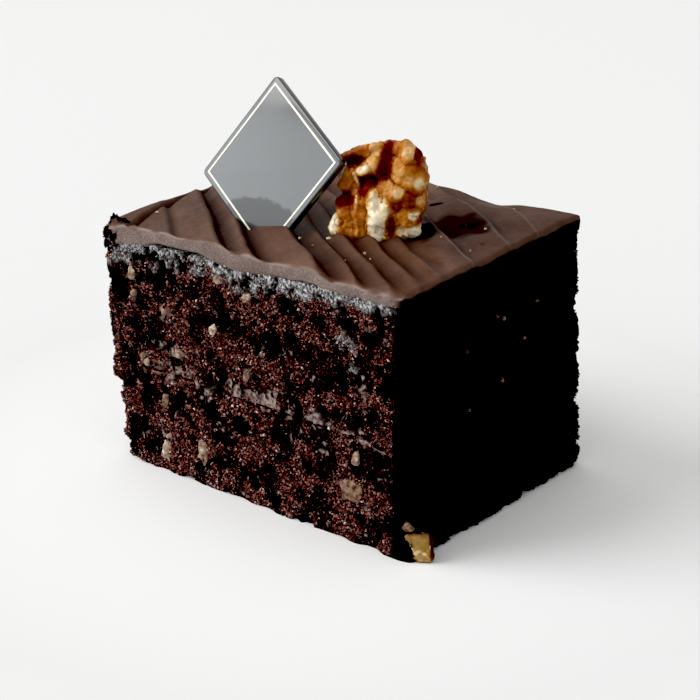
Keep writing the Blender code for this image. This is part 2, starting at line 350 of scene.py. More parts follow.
def spotsAt(points, spots, ragged):
    # 1 inside any of the spots on the front face, 0 outside, with a ragged edge
    found = np.zeros(len(points))
    front = points[:, 1] < -slab["depth"] / 2 + 4
    for x, z, halfWide, halfHigh in spots:
        away = np.hypot((points[:, 0] - x) / halfWide, (points[:, 2] - z) / halfHigh) + ragged
        found = np.maximum(found, smooth((1.1 - away) / 0.3) * front)
    return found


def creaseAt(points, cell):
    # 1 in the creases between the lumps, which are cells this wide with bent walls
    bent = points + 0.5 * np.stack([noiseAt(points, 1.6, s) for s in (3.0, 8.0, 13.0)], axis=-1)
    nearest = np.array([noise.voronoi(place)[0][:2] for place in (bent / cell).tolist()])
    return 1 - smooth((nearest[:, 1] - nearest[:, 0]) / 0.22)


def filmAt(points):
    # Frosting smeared thinly over the top of the front, in patches that the pores break up
    above = points[:, 2] - np.interp(points[:, 0], *zip(*filmFoot)) + 1.5 * noiseAt(points, 3.0, 80)
    patchy = smooth(0.8 + 2.6 * noiseAt(points, 2.0, 82) + 1.4 * noiseAt(points, 0.8, 83))
    belowLip = np.interp(points[:, 0], *zip(*lipFoot)) - points[:, 2]
    patchy = np.maximum(patchy, smooth((crumb["lipFilm"] - belowLip) / 1.4))
    spots = spotsAt(points, filmSpots, roughAt(points, crumb["filmRagged"]))
    onFront = points[:, 1] < -slab["depth"] / 2 + 2.5
    return np.maximum(smooth(above / 2.2) * patchy * onFront, 0.6 * spots)


def smearsAt(points, ragged):
    # Crumb and filling pressed flat by the knife: the smears, a broken band along the filling and odd bits
    band = (points[:, 2] - fillingMiddle(points[:, 0], points[:, 1]) - 1.0) / 2.4
    band = np.exp(-(band**2)) * (0.35 + 0.65 * smooth((14 - points[:, 0]) / 8))
    linked = roughAt(points, crumb["linked"])
    return np.maximum(spotsAt(points, smears, ragged), smooth((linked - 0.6 + 0.66 * band) / 0.12))


def crumbRelief(points):
    push = slab["swell"] + sum(height * noiseAt(points, size, 5.0 * size) for size, height in crumb["grades"])
    ragged = roughAt(points, crumb["ragged"])
    cave = smooth((roughAt(points, crumb["caves"]) - crumb["caveFrom"]) / 0.2)
    film = filmAt(points)
    smeared = smearsAt(points, ragged)
    cave = np.maximum(cave * (1 - 0.7 * smeared), spotsAt(points, holes, ragged))
    smeared, film = smeared * (1 - cave), film * (1 - cave)
    crease = creaseAt(points, crumb["creaseCell"]) * (1 - smeared) * (1 - 0.7 * film)
    push = push * (1 - 0.5 * np.maximum(smeared, film)) + crumb["filmProud"] * film
    push -= crumb["caveDepth"] * cave + crumb["creaseDepth"] * crease
    low = np.clip(1 - points[:, 2] / crumb["rubHeight"], 0, 1)
    push -= crumb["rub"] * low * low * (1 + 1.5 * noiseAt(points, 3.0, 71))
    onFace = smooth((-points[:, 1] - slab["depth"] / 2 + 3) / 3)
    forward = onFace * smooth((points[:, 0] - crumb["flareFrom"]) / 12)
    push += crumb["flare"] * forward * np.clip(1 - points[:, 2] / crumb["flareHeight"], 0, 1) ** 2
    # On the right side the crumb is painted near-black, a painted shade
    onRight = smooth(points[:, 0] - slab["length"] / 2 + 3.2)
    push += slab["swellRight"] * onRight
    onLeft = smooth(-points[:, 0] - slab["length"] / 2 + 3.2)
    wavers = smooth(0.5 + points[:, 1] / slab["depth"])
    strays = wavers * crumb["backWaver"] * noiseAt(points * np.array([1, 1, 0.2]), 9.0, 150)
    push += np.interp(points[:, 2] + strays, *zip(*leftBulge)) * onLeft * (1 - 0.4 * wavers)
    proud = crumb["proud"] - 0.8 * np.clip(points[:, 2] / slab["height"], 0, 1)
    over = push - proud - 1.2 * np.maximum(onLeft, onRight)
    push -= np.log1p(np.exp(3 * over)) / 3
    # Caves and creases are also painted near-black in the sponge's colour, a painted shade
    return push, np.maximum(cave, 0.6 * crease), {"smeared": smeared, "film": film, "darkAndShade": onRight}


def standsProud(points):
    # How far out the crumb may stand at the front and the back: less towards the top, wavering along the foot
    wave = np.clip(0.35 + 1.6 * noiseAt(points * np.array([1, 1, 0.4]), 6.0, 73), 0, 1)
    wavers = crumb["footWave"] * wave * np.exp(-points[:, 2] / 4)
    return crumb["proudAcross"] - 0.5 * points[:, 2] / slab["height"] - wavers


def makeBlock(cuts, low, high, relief):
    # A layer of the slice between two heights, which low and high give for each place, with its relief
    selectOnly()
    bpy.ops.mesh.primitive_cylinder_add(
        vertices=round(2 * (slab["length"] + slab["depth"]) / crumb["cell"]),
        radius=slab["depth"] / 2 * mm,
        depth=slab["height"] / 2 * mm,
        end_fill_type="NOTHING",
    )
    piece = bpy.context.object
    startEdit(piece, "EDGE")
    select(piece, "edges", lambda edge: abs(edge.verts[0].co.z - edge.verts[1].co.z) > mm)
    bpy.ops.mesh.subdivide(number_cuts=cuts)
    endEdit()
    tube = np.array([vertex.co for vertex in piece.data.vertices])
    up = (tube[:, 2] - tube[:, 2].min()) / np.ptp(tube[:, 2])
    x, y, outX, outY = walkRound((np.arctan2(tube[:, 1], tube[:, 0]) / (2 * math.pi)) % 1)
    bottom, top = low(x, y), high(x, y)
    points = leaned(x, y, bottom + (top - bottom) * up)
    push, cave, marks = relief(points)
    points[:, 0] += outX * push
    points[:, 1] += outY * np.minimum(push, standsProud(points))
    inside = (up > 0.001) & (up < 0.999)
    points[:, 2] += crumb["upAndDown"] * noiseAt(points, 0.9, 19) * inside
    setPoints(piece, points)
    for name, values in {"cave": cave, **marks}.items():
        setValues(piece, name, values)
    startEdit(piece)
    bpy.ops.mesh.select_all(action="SELECT")
    bpy.ops.mesh.fill_holes(sides=0)
    pokeCaps(piece)
    endEdit()
    faceOutwards(piece)
    return piece


def readValues(piece, name):
    return np.array([point.value for point in piece.data.attributes[name].data])


def makeLump():
    # A crumb's eight-sided shape, one unit in radius
    selectOnly()
    bpy.ops.mesh.primitive_cone_add(
        vertices=4, radius1=1, depth=1, end_fill_type="NOTHING", location=(0, 0, 0.5)
    )
    lump = bpy.context.object
    startEdit(lump, "EDGE")
    select(lump, "edges", lambda edge: edge.is_boundary)
    bpy.ops.mesh.extrude_region_move(TRANSFORM_OT_translate={"value": (0, 0, -1)})
    bpy.ops.mesh.merge(type="CENTER")
    endEdit()
    settle(lump)
    corners = np.array([vertex.co for vertex in lump.data.vertices])
    faces = np.array([list(face.vertices) for face in lump.data.polygons])
    bpy.data.objects.remove(lump)
    return corners, faces


def turnsOf(dice, count):
    # Random rotations, as matrices
    turns = dice.normal(size=(count, 4))
    w, i, j, k = (turns / np.linalg.norm(turns, axis=1)[:, None]).T
    spin = [
        [1 - 2 * (j * j + k * k), 2 * (i * j - k * w), 2 * (i * k + j * w)],
        [2 * (i * j + k * w), 1 - 2 * (i * i + k * k), 2 * (j * k - i * w)],
        [2 * (i * k - j * w), 2 * (j * k + i * w), 1 - 2 * (i * i + j * j)],
    ]
    return np.array(spin).transpose(2, 0, 1)


def makeGrains(block, count, seed):
    # Loose crumbs that cling to the cut, in clusters, each a rough eight-sided lump
    dice = np.random.default_rng(seed)
    corners, faces = makeLump()
    points, normals = getPoints(block), getNormals(block)
    cave, smeared, film, darkAndShade = (readValues(block, name) for name in ("cave", "smeared", "film", "darkAndShade"))
    side = np.abs(normals[:, 2]) < 0.9
    clear = points[:, 2] > crumb["clearOfFloor"]
    chance = side * (1 - cave) ** 2 * (1 - crumb["lostInSmears"] * smeared) * clear
    chance *= crumb["strays"] + np.exp(-((noiseAt(points, crumb["chain"], 91) / crumb["chainWide"]) ** 2))
    covered = smooth(0.5 + 2.6 * noiseAt(points, crumb["bareSize"], 140))
    chance *= covered * (1 - crumb["lostOnRight"] * darkAndShade) * (1 - crumb["lostInFilm"] * film)
    chance *= np.where(normals[:, 1] < -0.3, crumb["frontMore"], 1.0)
    chosen = dice.choice(len(points), count, replace=False, p=chance / chance.sum())
    least, more = crumb["grainRadius"]
    radius = least + more * dice.random(count) ** 3
    uneven = dice.uniform(0.6, 1.35, (count, len(corners), 1))
    lumps = corners[None] * uneven * dice.uniform(0.6, 1.7, (count, 1, 3))
    lumps = np.einsum("nab,ncb->nca", turnsOf(dice, count), lumps) * radius[:, None, None]
    middles = points[chosen] + normals[chosen] * 0.06 + dice.normal(0, 0.07, (count, 3))
    lumps = lumps + middles[:, None]
    lumps[:, :, 2] = np.maximum(lumps[:, :, 2], 0.01)
    joined = faces[None] + (np.arange(count) * len(corners))[:, None, None]
    piece = meshFrom(lumps.reshape(-1, 3), joined.reshape(-1, 3))
    # Loose crumbs on the right side are painted darker, a painted shade
    tone = dice.random(count) * (1 - 0.95 * darkAndShade[chosen])
    for name, values in (("tone", tone), ("hue", dice.random(count)), ("film", film[chosen])):
        setValues(piece, name, np.repeat(values, len(corners)))
    return piece


def makeCrumbMaterial():
    # Dark cocoa sponge, torn by a dull knife: near-black pores between reddish-brown crumbs, the pores, caves
    # and creases painted near-black as shade, some crumbs with a painted pale glint, the right side painted
    # near-black as shade; grey where frosting was smeared over it, greyish brown and flat where the knife
    # pressed it
    material, tree, shader = startMaterial("cocoaSponge")
    place = addNode(tree, "TexCoord").outputs["Object"]
    cave, smeared, film, darkAndShade = (
        addNode(tree, "Attribute", {"attribute_name": name}).outputs["Fac"]
        for name in ("cave", "smeared", "film", "darkAndShade")
    )
    # Each noise: its size in mm and how detailed it is
    bend, patch, region = (
        addNode(tree, "TexNoise", {"Scale": perMm(size), "Detail": detail}, {"Vector": place})
        for size, detail in ((0.9, 2.0), (1.6, 3.0), (5.0, 1.0))
    )
    far = {"operation": "MULTIPLY_ADD", 1: (0.7 * mm,) * 3}
    bent = addNode(tree, "VectorMath", far, {0: bend.outputs["Color"], 2: place})
    grain = addNode(tree, "TexVoronoi", {"Scale": perMm(0.5)}, {"Vector": bent})
    lit = addNode(tree, "ValToRGB", {"stops": ((0.2, 1.0), (0.5, 0.0))}, {"Fac": grain})
    clustered = addNode(tree, "Mix", {0: 0.35}, {2: patch, 3: region})
    patchy = addNode(tree, "ValToRGB", {"stops": ((0.44, 0.0), (0.53, 1.0))}, {"Fac": clustered})
    chain = addNode(tree, "TexNoise", {"Scale": perMm(crumb["chain"]), "Detail": 1.0}, {"Vector": bent})
    linked = {"stops": ((0.38, 0.15), (0.62, 0.15), (0.46, 1.0), (0.54, 1.0))}
    chained = addNode(tree, "ValToRGB", linked, {"Fac": chain})
    gathered = addNode(tree, "Math", {"operation": "MULTIPLY"}, {0: chained, 1: patchy})
    share = addNode(tree, "Math", {"operation": "MULTIPLY"}, {0: lit, 1: gathered})
    # The palest tones are painted glints; the near-black ground between the lit crumbs is partly the sponge's
    # dark colour and partly painted shade of the pores
    tones = (0.2, "#40120b"), (0.85, "#d9bdb6"), (0.4, "#74261a"), (0.6, "#914a3d"), (0.74, "#9c6a60")
    tone = addNode(tree, "ValToRGB", {"stops": tones}, {"Fac": grain.outputs["Color"]})
    brown = addNode(tree, "Mix", {"data_type": "RGBA", 6: "#0f0302"}, {0: share, 7: tone})
    flat = addNode(tree, "ValToRGB", {"stops": ((0.35, "#4a3a36"), (0.56, "#95847e"))}, {"Fac": bend})
    pressed = addNode(tree, "Mix", {"data_type": "RGBA"}, {0: smeared, 6: brown, 7: flat})
    drawn = addNode(tree, "Mapping", {"Scale": (1, 1, 0.8)}, {"Vector": place})
    wisp = addNode(tree, "TexNoise", {"Scale": perMm(0.5), "Detail": 3.0}, {"Vector": drawn})
    # The film's near-white tops are partly a painted highlight, its near-black dips partly painted shade of
    # the pores
    wisps = {"stops": ((0.36, "#0d0807"), (0.43, "#4f4947"), (0.52, "#858080"), (0.64, "#c3c4c8"))}
    grey = addNode(tree, "ValToRGB", wisps, {"Fac": wisp})
    coated = addNode(tree, "Mix", {"data_type": "RGBA"}, {0: film, 6: pressed, 7: grey})
    # The right side is painted near-black, a painted shade; the clod uses the same value for its own dark
    # tone
    darkAndShadeMix = addNode(tree, "Math", {"operation": "MULTIPLY", 1: 0.97}, {0: darkAndShade})
    hidden = addNode(tree, "Math", {"operation": "MAXIMUM"}, {0: cave, 1: darkAndShadeMix})
    # Pores, caves and creases are painted near-black, a painted shade
    deep = addNode(tree, "Mix", {"data_type": "RGBA", 7: "#040101"}, {0: hidden, 6: coated})
    height = addNode(tree, "Mix", {}, {0: film, 2: share, 3: wisp})
    bump = addNode(tree, "Bump", {"Strength": 1.0, "Distance": 0.2 * mm}, {"Height": height})
    shown = addNode(tree, "Math", {"operation": "MAXIMUM"}, {0: share, 1: film})
    undarkened = addNode(tree, "Math", {"operation": "SUBTRACT", 0: 1.0}, {1: hidden})
    shine = addNode(tree, "Math", {"operation": "MULTIPLY"}, {0: shown, 1: undarkened})
    glint = addNode(tree, "Math", {"operation": "MULTIPLY", 1: 0.25}, {0: shine})
    setNode(shader, {"Roughness": 0.6}, {"Base Color": deep, "Normal": bump, "Specular IOR Level": glint})
    return material


def makeGrainMaterial():
    # Dry crumbs of the same sponge, each with its own tone, its palest a painted glint, darker on the right
    # side as painted shade, and grey where the frosting coats them
    material, tree, shader = startMaterial("cocoaCrumbs")
    tone, film, hue = (
        addNode(tree, "Attribute", {"attribute_name": name}).outputs["Fac"]
        for name in ("tone", "film", "hue")
    )
    # The palest tones of each ramp are painted glints
    rusty = (0.0, "#0d0201"), (1.0, "#dfc5bd"), (0.4, "#48120a"), (0.76, "#8a4334"), (0.93, "#b07d70")
    mauve = (0.0, "#0b0302"), (1.0, "#dcd2d2"), (0.45, "#3a1a17"), (0.78, "#6f4c4a"), (0.93, "#978380")
    ashy = (0.0, "#241c1a"), (0.9, "#b9b8ba"), (0.5, "#67605e")
    warm, cool, grey = (addNode(tree, "ValToRGB", {"stops": s}, {"Fac": tone}) for s in (rusty, mauve, ashy))
    cooler = addNode(tree, "ValToRGB", {"stops": ((0.68, 0.0), (0.82, 1.0))}, {"Fac": hue})
    brown = addNode(tree, "Mix", {"data_type": "RGBA"}, {0: cooler, 6: warm, 7: cool})
    coated = addNode(tree, "Mix", {"data_type": "RGBA"}, {0: film, 6: brown, 7: grey})
    glint = addNode(tree, "Math", {"operation": "MULTIPLY", 1: 0.4}, {0: tone})
    setNode(shader, {"Roughness": 0.5}, {"Base Color": coated, "Specular IOR Level": glint})
    return material


spongeMaterial = makeCrumbMaterial()
grainMaterial = makeGrainMaterial()


def layerBelow(x, y):
    return fillingMiddle(x, y) - crumb["overlap"]


def layerAbove(x, y):
    return fillingMiddle(x, y) + crumb["overlap"]


def spongeTop(x, y):
    return slab["height"] - crumb["underFrosting"] + leanAt(x, y)[..., 2]


# Each layer: its rows of crumb, its lower and upper height, and its loose crumbs' seeds
layers = {"lower_sponge": (66, lambda x, y: np.zeros_like(x), layerBelow, (1, 3))}
layers["upper_sponge"] = (84, layerAbove, spongeTop, (2, 4))
for layer, (rows, low, high, seeds) in layers.items():
    sponge = makeBlock(rows, low, high, crumbRelief)
    loose = [makeGrains(sponge, crumb["grains"], seed) for seed in seeds]
    finishPiece(sponge, layer + "_crumb", spongeMaterial, (layer,))
    finishPiece(loose[0], layer + "_grains", grainMaterial)
    finishPiece(loose[1], layer + "_more_grains", grainMaterial)


# Chocolate filling: it shows only here and there, where the knife dragged it over the crumb
def fillingRelief(points):
    push, cave, marks = crumbRelief(points)
    shown = spotsAt(points, smears, 0.3 * noiseAt(points, 1.7, 60))
    marks["smeared"] = shown
    # Where the filling lies back behind the crumb it is painted darker, a painted shade
    return 0.8 * push - 0.25 + 0.5 * shown, np.maximum(0.6 * cave, 0.35 * (1 - shown)), marks


fillingSlab = makeBlock(
    5,
    lambda x, y: fillingMiddle(x, y) - filling["shown"] / 2,
    lambda x, y: fillingMiddle(x, y) + filling["shown"] / 2,
    fillingRelief,
)
finishPiece(fillingSlab, "filling_layer", spongeMaterial, ("filling",))

# Frosting: chocolate fudge pulled over the top with a palette knife, in strokes that fan out a little
frosting = {
    "columns": 232,
    "rows": 168,
    "wallRows": 16,
    "fanRadius": 420.0,
    "fanTurn": 35.0,
    "rise": 1.4,
    "drop": 1.9,
    "level": 0.35,  # the strokes' mean height
    "wander": ((1.3, 24.0, 2), (0.25, 5.0, 9)),  # how the strokes stray: noises, as the crumb's
    "ragged": ((0.9, 6.0, 63), (0.5, 2.0, 64)),  # the walls' lower edge
    "bumps": ((0.08, 1.2, 21), (0.35, 4.0, 22)),  # the walls
    "groove": 0.5,
    "faintest": 0.25,  # how much of the strokes is left at the right side
    "leftRim": 0.7,  # the height of the rim left of the groove
    "lipDepth": 1.3,  # how far in from the front the strokes run out into the lip
    "lipProud": 0.35,
    "shoulder": 1.0,
    "shoulderDrop": 0.3,
    "dentTurn": 33.0,  # the way the strokes run where the hollows are
    "thick": 4.6,  # how far the walls go down from the slice's top
    "thickWithin": 4.5,  # the same for its hidden underside
    "backFrom": 22.0,  # y from which the strokes fade towards the back
    "cornerMore": 0.6,  # its corners are rounder than the sponge's by this
    "lineFrom": 10.0,  # crests further across the fan than this have a thin lit edge
    "lineWide": 0.18,
    "lineShown": 0.42,
}
# Crests of the strokes: how far across the fan, how high
crests = (
    (-46.0, 0.3), (-38.6, 0.8), (-29.8, 1.6), (-24.2, 1.5), (-14.0, 2.0), (-8.2, 1.2), (-3.8, 1.2),
    (0.9, 1.1), (5.8, 1.0), (14.6, 1.2), (25.4, 1.0), (33.2, 0.8), (46.0, 0.7),
)
# Soft hollows and small pits in the top: x, y, half the length along the strokes, half the width, depth
dents = (
    (24.0, 11.0, 7.0, 3.0, 0.9), (7.4, 20.6, 2.0, 0.5, 1.0), (35.8, 1.0, 0.5, 0.4, 0.5),
    (17.0, 30.0, 8.0, 5.0, 1.9), (-36.0, 29.0, 9.0, 7.0, -1.3),
)


def fanAcross(x, y):
    turn, reach = math.radians(frosting["fanTurn"]), frosting["fanRadius"]
    return reach * (np.arctan2(y - reach * math.sin(turn), x + reach * math.cos(turn)) + turn)


# Where the walnut and the deep strokes behind it keep the light off: x, y, half the width and the depth as
# seen from the front corner, how dark
shades = (
    (24.3, 7.9, 9.4, 9.4, 0.9), (25.8, 9.7, 3.2, 2.6, 1.0), (11.7, 16.7, 2.1, 1.2, 1.0),
    (21.6, -0.6, 3.2, 6.0, 1.0),
)


def shadeAt(points, x, y):
    turn, shade = math.radians(40), np.zeros(len(points))
    for right, back, halfWide, halfDeep, dark in shades:
        alongX, alongY = points[:, 0] - right, points[:, 1] - back
        wide = (alongX * math.cos(turn) + alongY * math.sin(turn)) / halfWide
        deep = (alongY * math.cos(turn) - alongX * math.sin(turn)) / halfDeep
        away = np.hypot(wide, deep) + 0.25 * noiseAt(points, 3.0, 58)
        shade = np.maximum(shade, dark * smooth((1.25 - away) / 0.65))
    # The right and the left of the top get less light than the middle
    right = 0.4 * smooth((x - 6) / 10) * smooth((y + 14) / 10)
    return np.maximum(shade, np.maximum(right, 0.22 * smooth((-18 - x) / 8)))


# The groove that the knife's tip drew along the left edge, where the strokes begin
leftGroove = (
    (-35.2, -31.0), (-36.2, -27.9), (-37.3, -23.8), (-38.5, -19.5), (-39.5, -15.1), (-40.3, -10.0),
    (-40.8, -4.0), (-41.2, 4.0), (-41.4, 14.0),
)


def besideGroove(points):
    # How far each place is from the groove, and whether it lies on the groove's left
    across, behind = np.full(len(points), np.inf), np.zeros(len(points))
    for start, end in zip(leftGroove, leftGroove[1:]):
        way = np.array(end) - np.array(start)
        off = points[:, :2] - np.array(start)
        share = np.clip(off @ way / (way @ way), 0, 1)
        away = np.hypot(*(off - share[:, None] * way).T)
        side = (off[:, 1] * way[0] - off[:, 0] * way[1]) / math.hypot(*way)
        behind = np.where(away < across, side, behind)
        across = np.minimum(across, away)
    return across, smooth(behind / 1.2)


def strokesAt(points):
    # At each place: the strokes' height, how deep it lies in the fold behind a crest (painted as shade), how
    # near a lit edge (painted as a highlight)
    across = fanAcross(points[:, 0], points[:, 1])
    across = across + roughAt(points, frosting["wander"])
    height, foldShade, line = np.zeros(len(points)), np.zeros(len(points)), np.zeros(len(points))
    for (before, crestBefore), (here, crest) in zip(crests, crests[1:]):
        inside = (across >= before) & (across < here)
        rising = crest * np.clip((across - before) / (here - before), 0, 1) ** frosting["rise"]
        past = (across - before) / (frosting["drop"] * crestBefore**0.7)
        groove = frosting["groove"] * crestBefore * np.exp(-(((past - 1.1) / 0.7) ** 2))
        stroke = np.maximum(rising, crestBefore * (1 - smooth(past))) - groove
        height = np.where(inside, stroke, height)
        hidden = smooth(past / 0.25) * (1 - smooth((past - 0.5) / 2.2)) * min(1, 0.7 * crestBefore)
        foldShade = np.where(inside, hidden, foldShade)
        if before > frosting["lineFrom"]:
            near = np.exp(-(((across - before + 0.05) / frosting["lineWide"]) ** 2))
            line = np.maximum(line, frosting["lineShown"] * near * (points[:, 0] > 14))
    # The knife pressed less on the way out over the right side
    outward = smooth((slab["length"] / 2 - points[:, 0]) / 10)
    kept = frosting["faintest"] + (1 - frosting["faintest"]) * outward
    away, behind = besideGroove(points)
    kept = kept * (1 - 0.85 * behind) * (1 - 0.7 * smooth((points[:, 1] - frosting["backFrom"]) / 8))
    groove = np.exp(-((away / 0.8) ** 2))
    height = height * kept + frosting["leftRim"] * behind - 0.5 * groove
    return height, np.maximum(foldShade * (0.4 + 0.6 * kept), 0.95 * groove), line * smooth(kept * 2)


def frostingTop(points):
    # Height of the frosting over each place, without its edges
    top = slab["height"] + leanAt(points[:, 0], points[:, 1])[:, 2] - frosting["level"]
    top = top + strokesAt(points)[0] + 0.5 * noiseAt(points, 11.0, 40) + 0.06 * noiseAt(points, 1.5, 41)
    turn = math.radians(frosting["dentTurn"])
    for x, y, halfLong, halfWide, depth in dents:
        right, back = points[:, 0] - x, points[:, 1] - y
        down = (right * math.cos(turn) - back * math.sin(turn)) / halfLong
        across = (right * math.sin(turn) + back * math.cos(turn)) / halfWide
        top = top - depth * np.exp(-(down**2) - across**2)
    return top


def makeFrostingShell(halfLength, halfDepth):
    # A grid whose rim is drawn down into walls, closed below
    selectOnly()
    bpy.ops.mesh.primitive_grid_add(
        x_subdivisions=frosting["columns"], y_subdivisions=frosting["rows"], size=2 * mm
    )
    piece = bpy.context.object
    piece.scale = (halfLength, halfDepth, 1)
    settle(piece)
    startEdit(piece, "EDGE")
    select(piece, "edges", lambda edge: edge.is_boundary)
    for _ in range(frosting["wallRows"]):
        bpy.ops.mesh.extrude_region_move(TRANSFORM_OT_translate={"value": (0, 0, -mm)})
    bpy.ops.mesh.edge_face_add()
    bpy.ops.mesh.select_mode(type="FACE")
    pokeCaps(piece)
    endEdit()
    return piece


def makeFrosting():
    halfLength, halfDepth = slab["length"] / 2 + slab["swell"], slab["depth"] / 2 + slab["swell"]
    piece = makeFrostingShell(halfLength, halfDepth)
    flatPoints = np.array([vertex.co for vertex in piece.data.vertices]) / mm
    x, y = flatPoints[:, 0], flatPoints[:, 1]
    down = np.clip(-flatPoints[:, 2] / frosting["wallRows"], 0, 1)
    # The square grid's corners are drawn in to the slice's rounded ones
    radius = slab["cornerRadius"] + frosting["cornerMore"]
    overX, overY = np.abs(x) - (halfLength - radius), np.abs(y) - (halfDepth - radius)
    atCorner = (overX > 0) & (overY > 0)
    shrink = np.where(atCorner, np.maximum(overX, overY) / np.maximum(np.hypot(overX, overY), 1e-6), 1)
    x = np.where(atCorner, np.sign(x) * (halfLength - radius + overX * shrink), x)
    y = np.where(atCorner, np.sign(y) * (halfDepth - radius + overY * shrink), y)
    inset = np.minimum(halfLength - np.abs(x), halfDepth - np.abs(y))
    points = leaned(x, y, np.full_like(x, slab["height"]))
    points[:, 0] += slab["swellRight"] * smooth((x - halfLength + 6) / 6)
    # The top runs out into the lip's edge at the front and falls off at the other edges
    top = frostingTop(points)
    edgeFall = np.interp(points[:, 0], *zip(*lipTop)) + 0.2 * noiseAt(points, 3.0, 55)
    edgeFall = edgeFall + 0.3 * strokesAt(points)[0]
    frontShare = 1 - smooth((y + halfDepth) / frosting["lipDepth"])
    shoulder = frosting["shoulderDrop"] * (1 - smooth(inset / frosting["shoulder"])) * (1 - frontShare)
    top = top * (1 - frontShare) + edgeFall * frontShare - shoulder
    top -= 0.35 * (1 - smooth(inset / 0.5))
    # The walls end in a ragged edge
    ragged = roughAt(points, frosting["ragged"])
    footHeight = slab["height"] - frosting["thick"] + leanAt(x, y)[:, 2] + ragged
    frontFoot = np.interp(points[:, 0], *zip(*lipFoot)) + 0.5 * ragged
    footHeight = footHeight * (1 - frontShare) + frontFoot * frontShare
    middle = (np.abs(x) < 1) & (np.abs(y) < 1) & (down > 0.999)
    footHeight = np.where(middle, slab["height"] - frosting["thickWithin"], footHeight)
    onWall = (down > 0) & ~middle
    points[:, 2] = np.where(down > 0, top + (footHeight - top) * down, top)
    outX = np.where(halfLength - np.abs(x) < radius, np.sign(x) * np.clip(overX / radius, 0, 1), 0)
    outY = np.where(halfDepth - np.abs(y) < radius, np.sign(y) * np.clip(overY / radius, 0, 1), 0)
    long = np.maximum(np.hypot(outX, outY), 1e-6)
    bulge = frosting["lipProud"] * np.sin(math.pi * np.clip(down * 0.9 + 0.1, 0, 1)) ** 0.7
    bulge += roughAt(points, frosting["bumps"])
    bulge -= 0.5 * smooth((down - 0.8) / 0.2)
    points[:, 0] += np.where(onWall, outX / long * bulge, 0)
    points[:, 1] += np.where(onWall, outY / long * bulge, 0)
    _, foldShade, line = strokesAt(points)
    # Painted shade: the folds, the walnut's shadow and the duller sides of the top are darkened in colour
    foldShade = np.maximum(0.85 * foldShade, shadeAt(points, x, y))
    onTop = 1 - smooth(down / 0.12)
    # A painted highlight along the lip's top edge, and along the lit edges of some crests
    rimHighlight = frontShare * (1 - smooth(inset / 0.5)) * onTop * smooth(0.7 + 2 * noiseAt(points, 4.0, 57))
    onLip = frontShare * (1 - smooth((x - halfLength + 2.4) / 1.6))
    setPoints(piece, points)
    setValues(piece, "foldShade", foldShade * (1 - smooth(down / 0.1)) * (1 - 0.6 * frontShare))
    setValues(piece, "rimHighlight", np.maximum(rimHighlight, line * onTop))
    # The lip is painted paler, partly painted light; the other walls darker, partly painted shade
    setValues(piece, "lip", smooth(down / 0.1) * onLip)
    setValues(piece, "cut", smooth(down / 0.1) * (1 - onLip))
    faceOutwards(piece)
    shadeSmooth(piece, 40)
    return piece


def makeFrostingMaterial():
    # Set chocolate fudge: satin brown where the knife passed, pale mauve on the lip, partly its own colour
    # and partly painted light, dark on the cut sides, partly painted shade
    material, tree, shader = startMaterial("chocolateFudge")
    place = addNode(tree, "TexCoord").outputs["Object"]
    lip, cut, foldShade, rimHighlight = (
        addNode(tree, "Attribute", {"attribute_name": name}).outputs["Fac"]
        for name in ("lip", "cut", "foldShade", "rimHighlight")
    )
    along = {"vector_type": "TEXTURE", "Rotation": (0, 0, math.radians(-38)), "Scale": (8, 1, 1)}
    turned = addNode(tree, "Mapping", along, {"Vector": place})
    streaks = addNode(tree, "TexNoise", {"Scale": perMm(1.4), "Detail": 4.0}, {"Vector": turned})
    cloudy, grain = (
        addNode(tree, "TexNoise", {"Scale": perMm(size), "Detail": detail}, {"Vector": place})
        for size, detail in ((7.0, 3.0), (0.35, 2.0))
    )
    mottled = addNode(tree, "Mix", {0: 0.7}, {2: streaks, 3: cloudy})
    grained = addNode(tree, "Mix", {0: 0.35}, {2: mottled, 3: grain})
    top = addNode(tree, "ValToRGB", {"stops": ((0.36, "#4a2f23"), (0.64, "#6c4c3c"))}, {"Fac": grained})
    speckled = addNode(tree, "Mix", {0: 0.6}, {2: cloudy, 3: grain})
    pale = addNode(tree, "ValToRGB", {"stops": ((0.38, "#5c4b46"), (0.62, "#84736d"))}, {"Fac": speckled})
    # The folds and the shadows are painted dark, a painted shade
    deep = addNode(tree, "Math", {"operation": "MULTIPLY", "use_clamp": True, 1: 1.05}, {0: foldShade})
    # A painted highlight along the lip's top edge and some crests
    thin = addNode(tree, "Math", {"operation": "MULTIPLY", 1: 0.7}, {0: rimHighlight})
    folded = addNode(tree, "Mix", {"data_type": "RGBA", 7: "#1e0301"}, {0: deep, 6: top})
    lipped = addNode(tree, "Mix", {"data_type": "RGBA"}, {0: lip, 6: folded, 7: pale})
    rimmed = addNode(tree, "Mix", {"data_type": "RGBA", 7: "#9c8a82"}, {0: thin, 6: lipped})
    colour = addNode(tree, "Mix", {"data_type": "RGBA", 7: "#150b08"}, {0: cut, 6: rimmed})
    dull = addNode(tree, "Math", {"operation": "MAXIMUM"}, {0: cut, 1: deep})
    shine = addNode(tree, "Mix", {2: 0.13, 3: 0.0}, {0: dull})
    relief = addNode(tree, "Mix", {0: 0.25}, {2: grain, 3: streaks})
    bump = addNode(tree, "Bump", {"Strength": 0.7, "Distance": 0.08 * mm}, {"Height": relief})
    setNode(shader, {"Roughness": 0.46}, {"Base Color": colour, "Normal": bump, "Specular IOR Level": shine})
    return material


finishPiece(makeFrosting(), "frosting_strokes", makeFrostingMaterial(), ("frosting",))

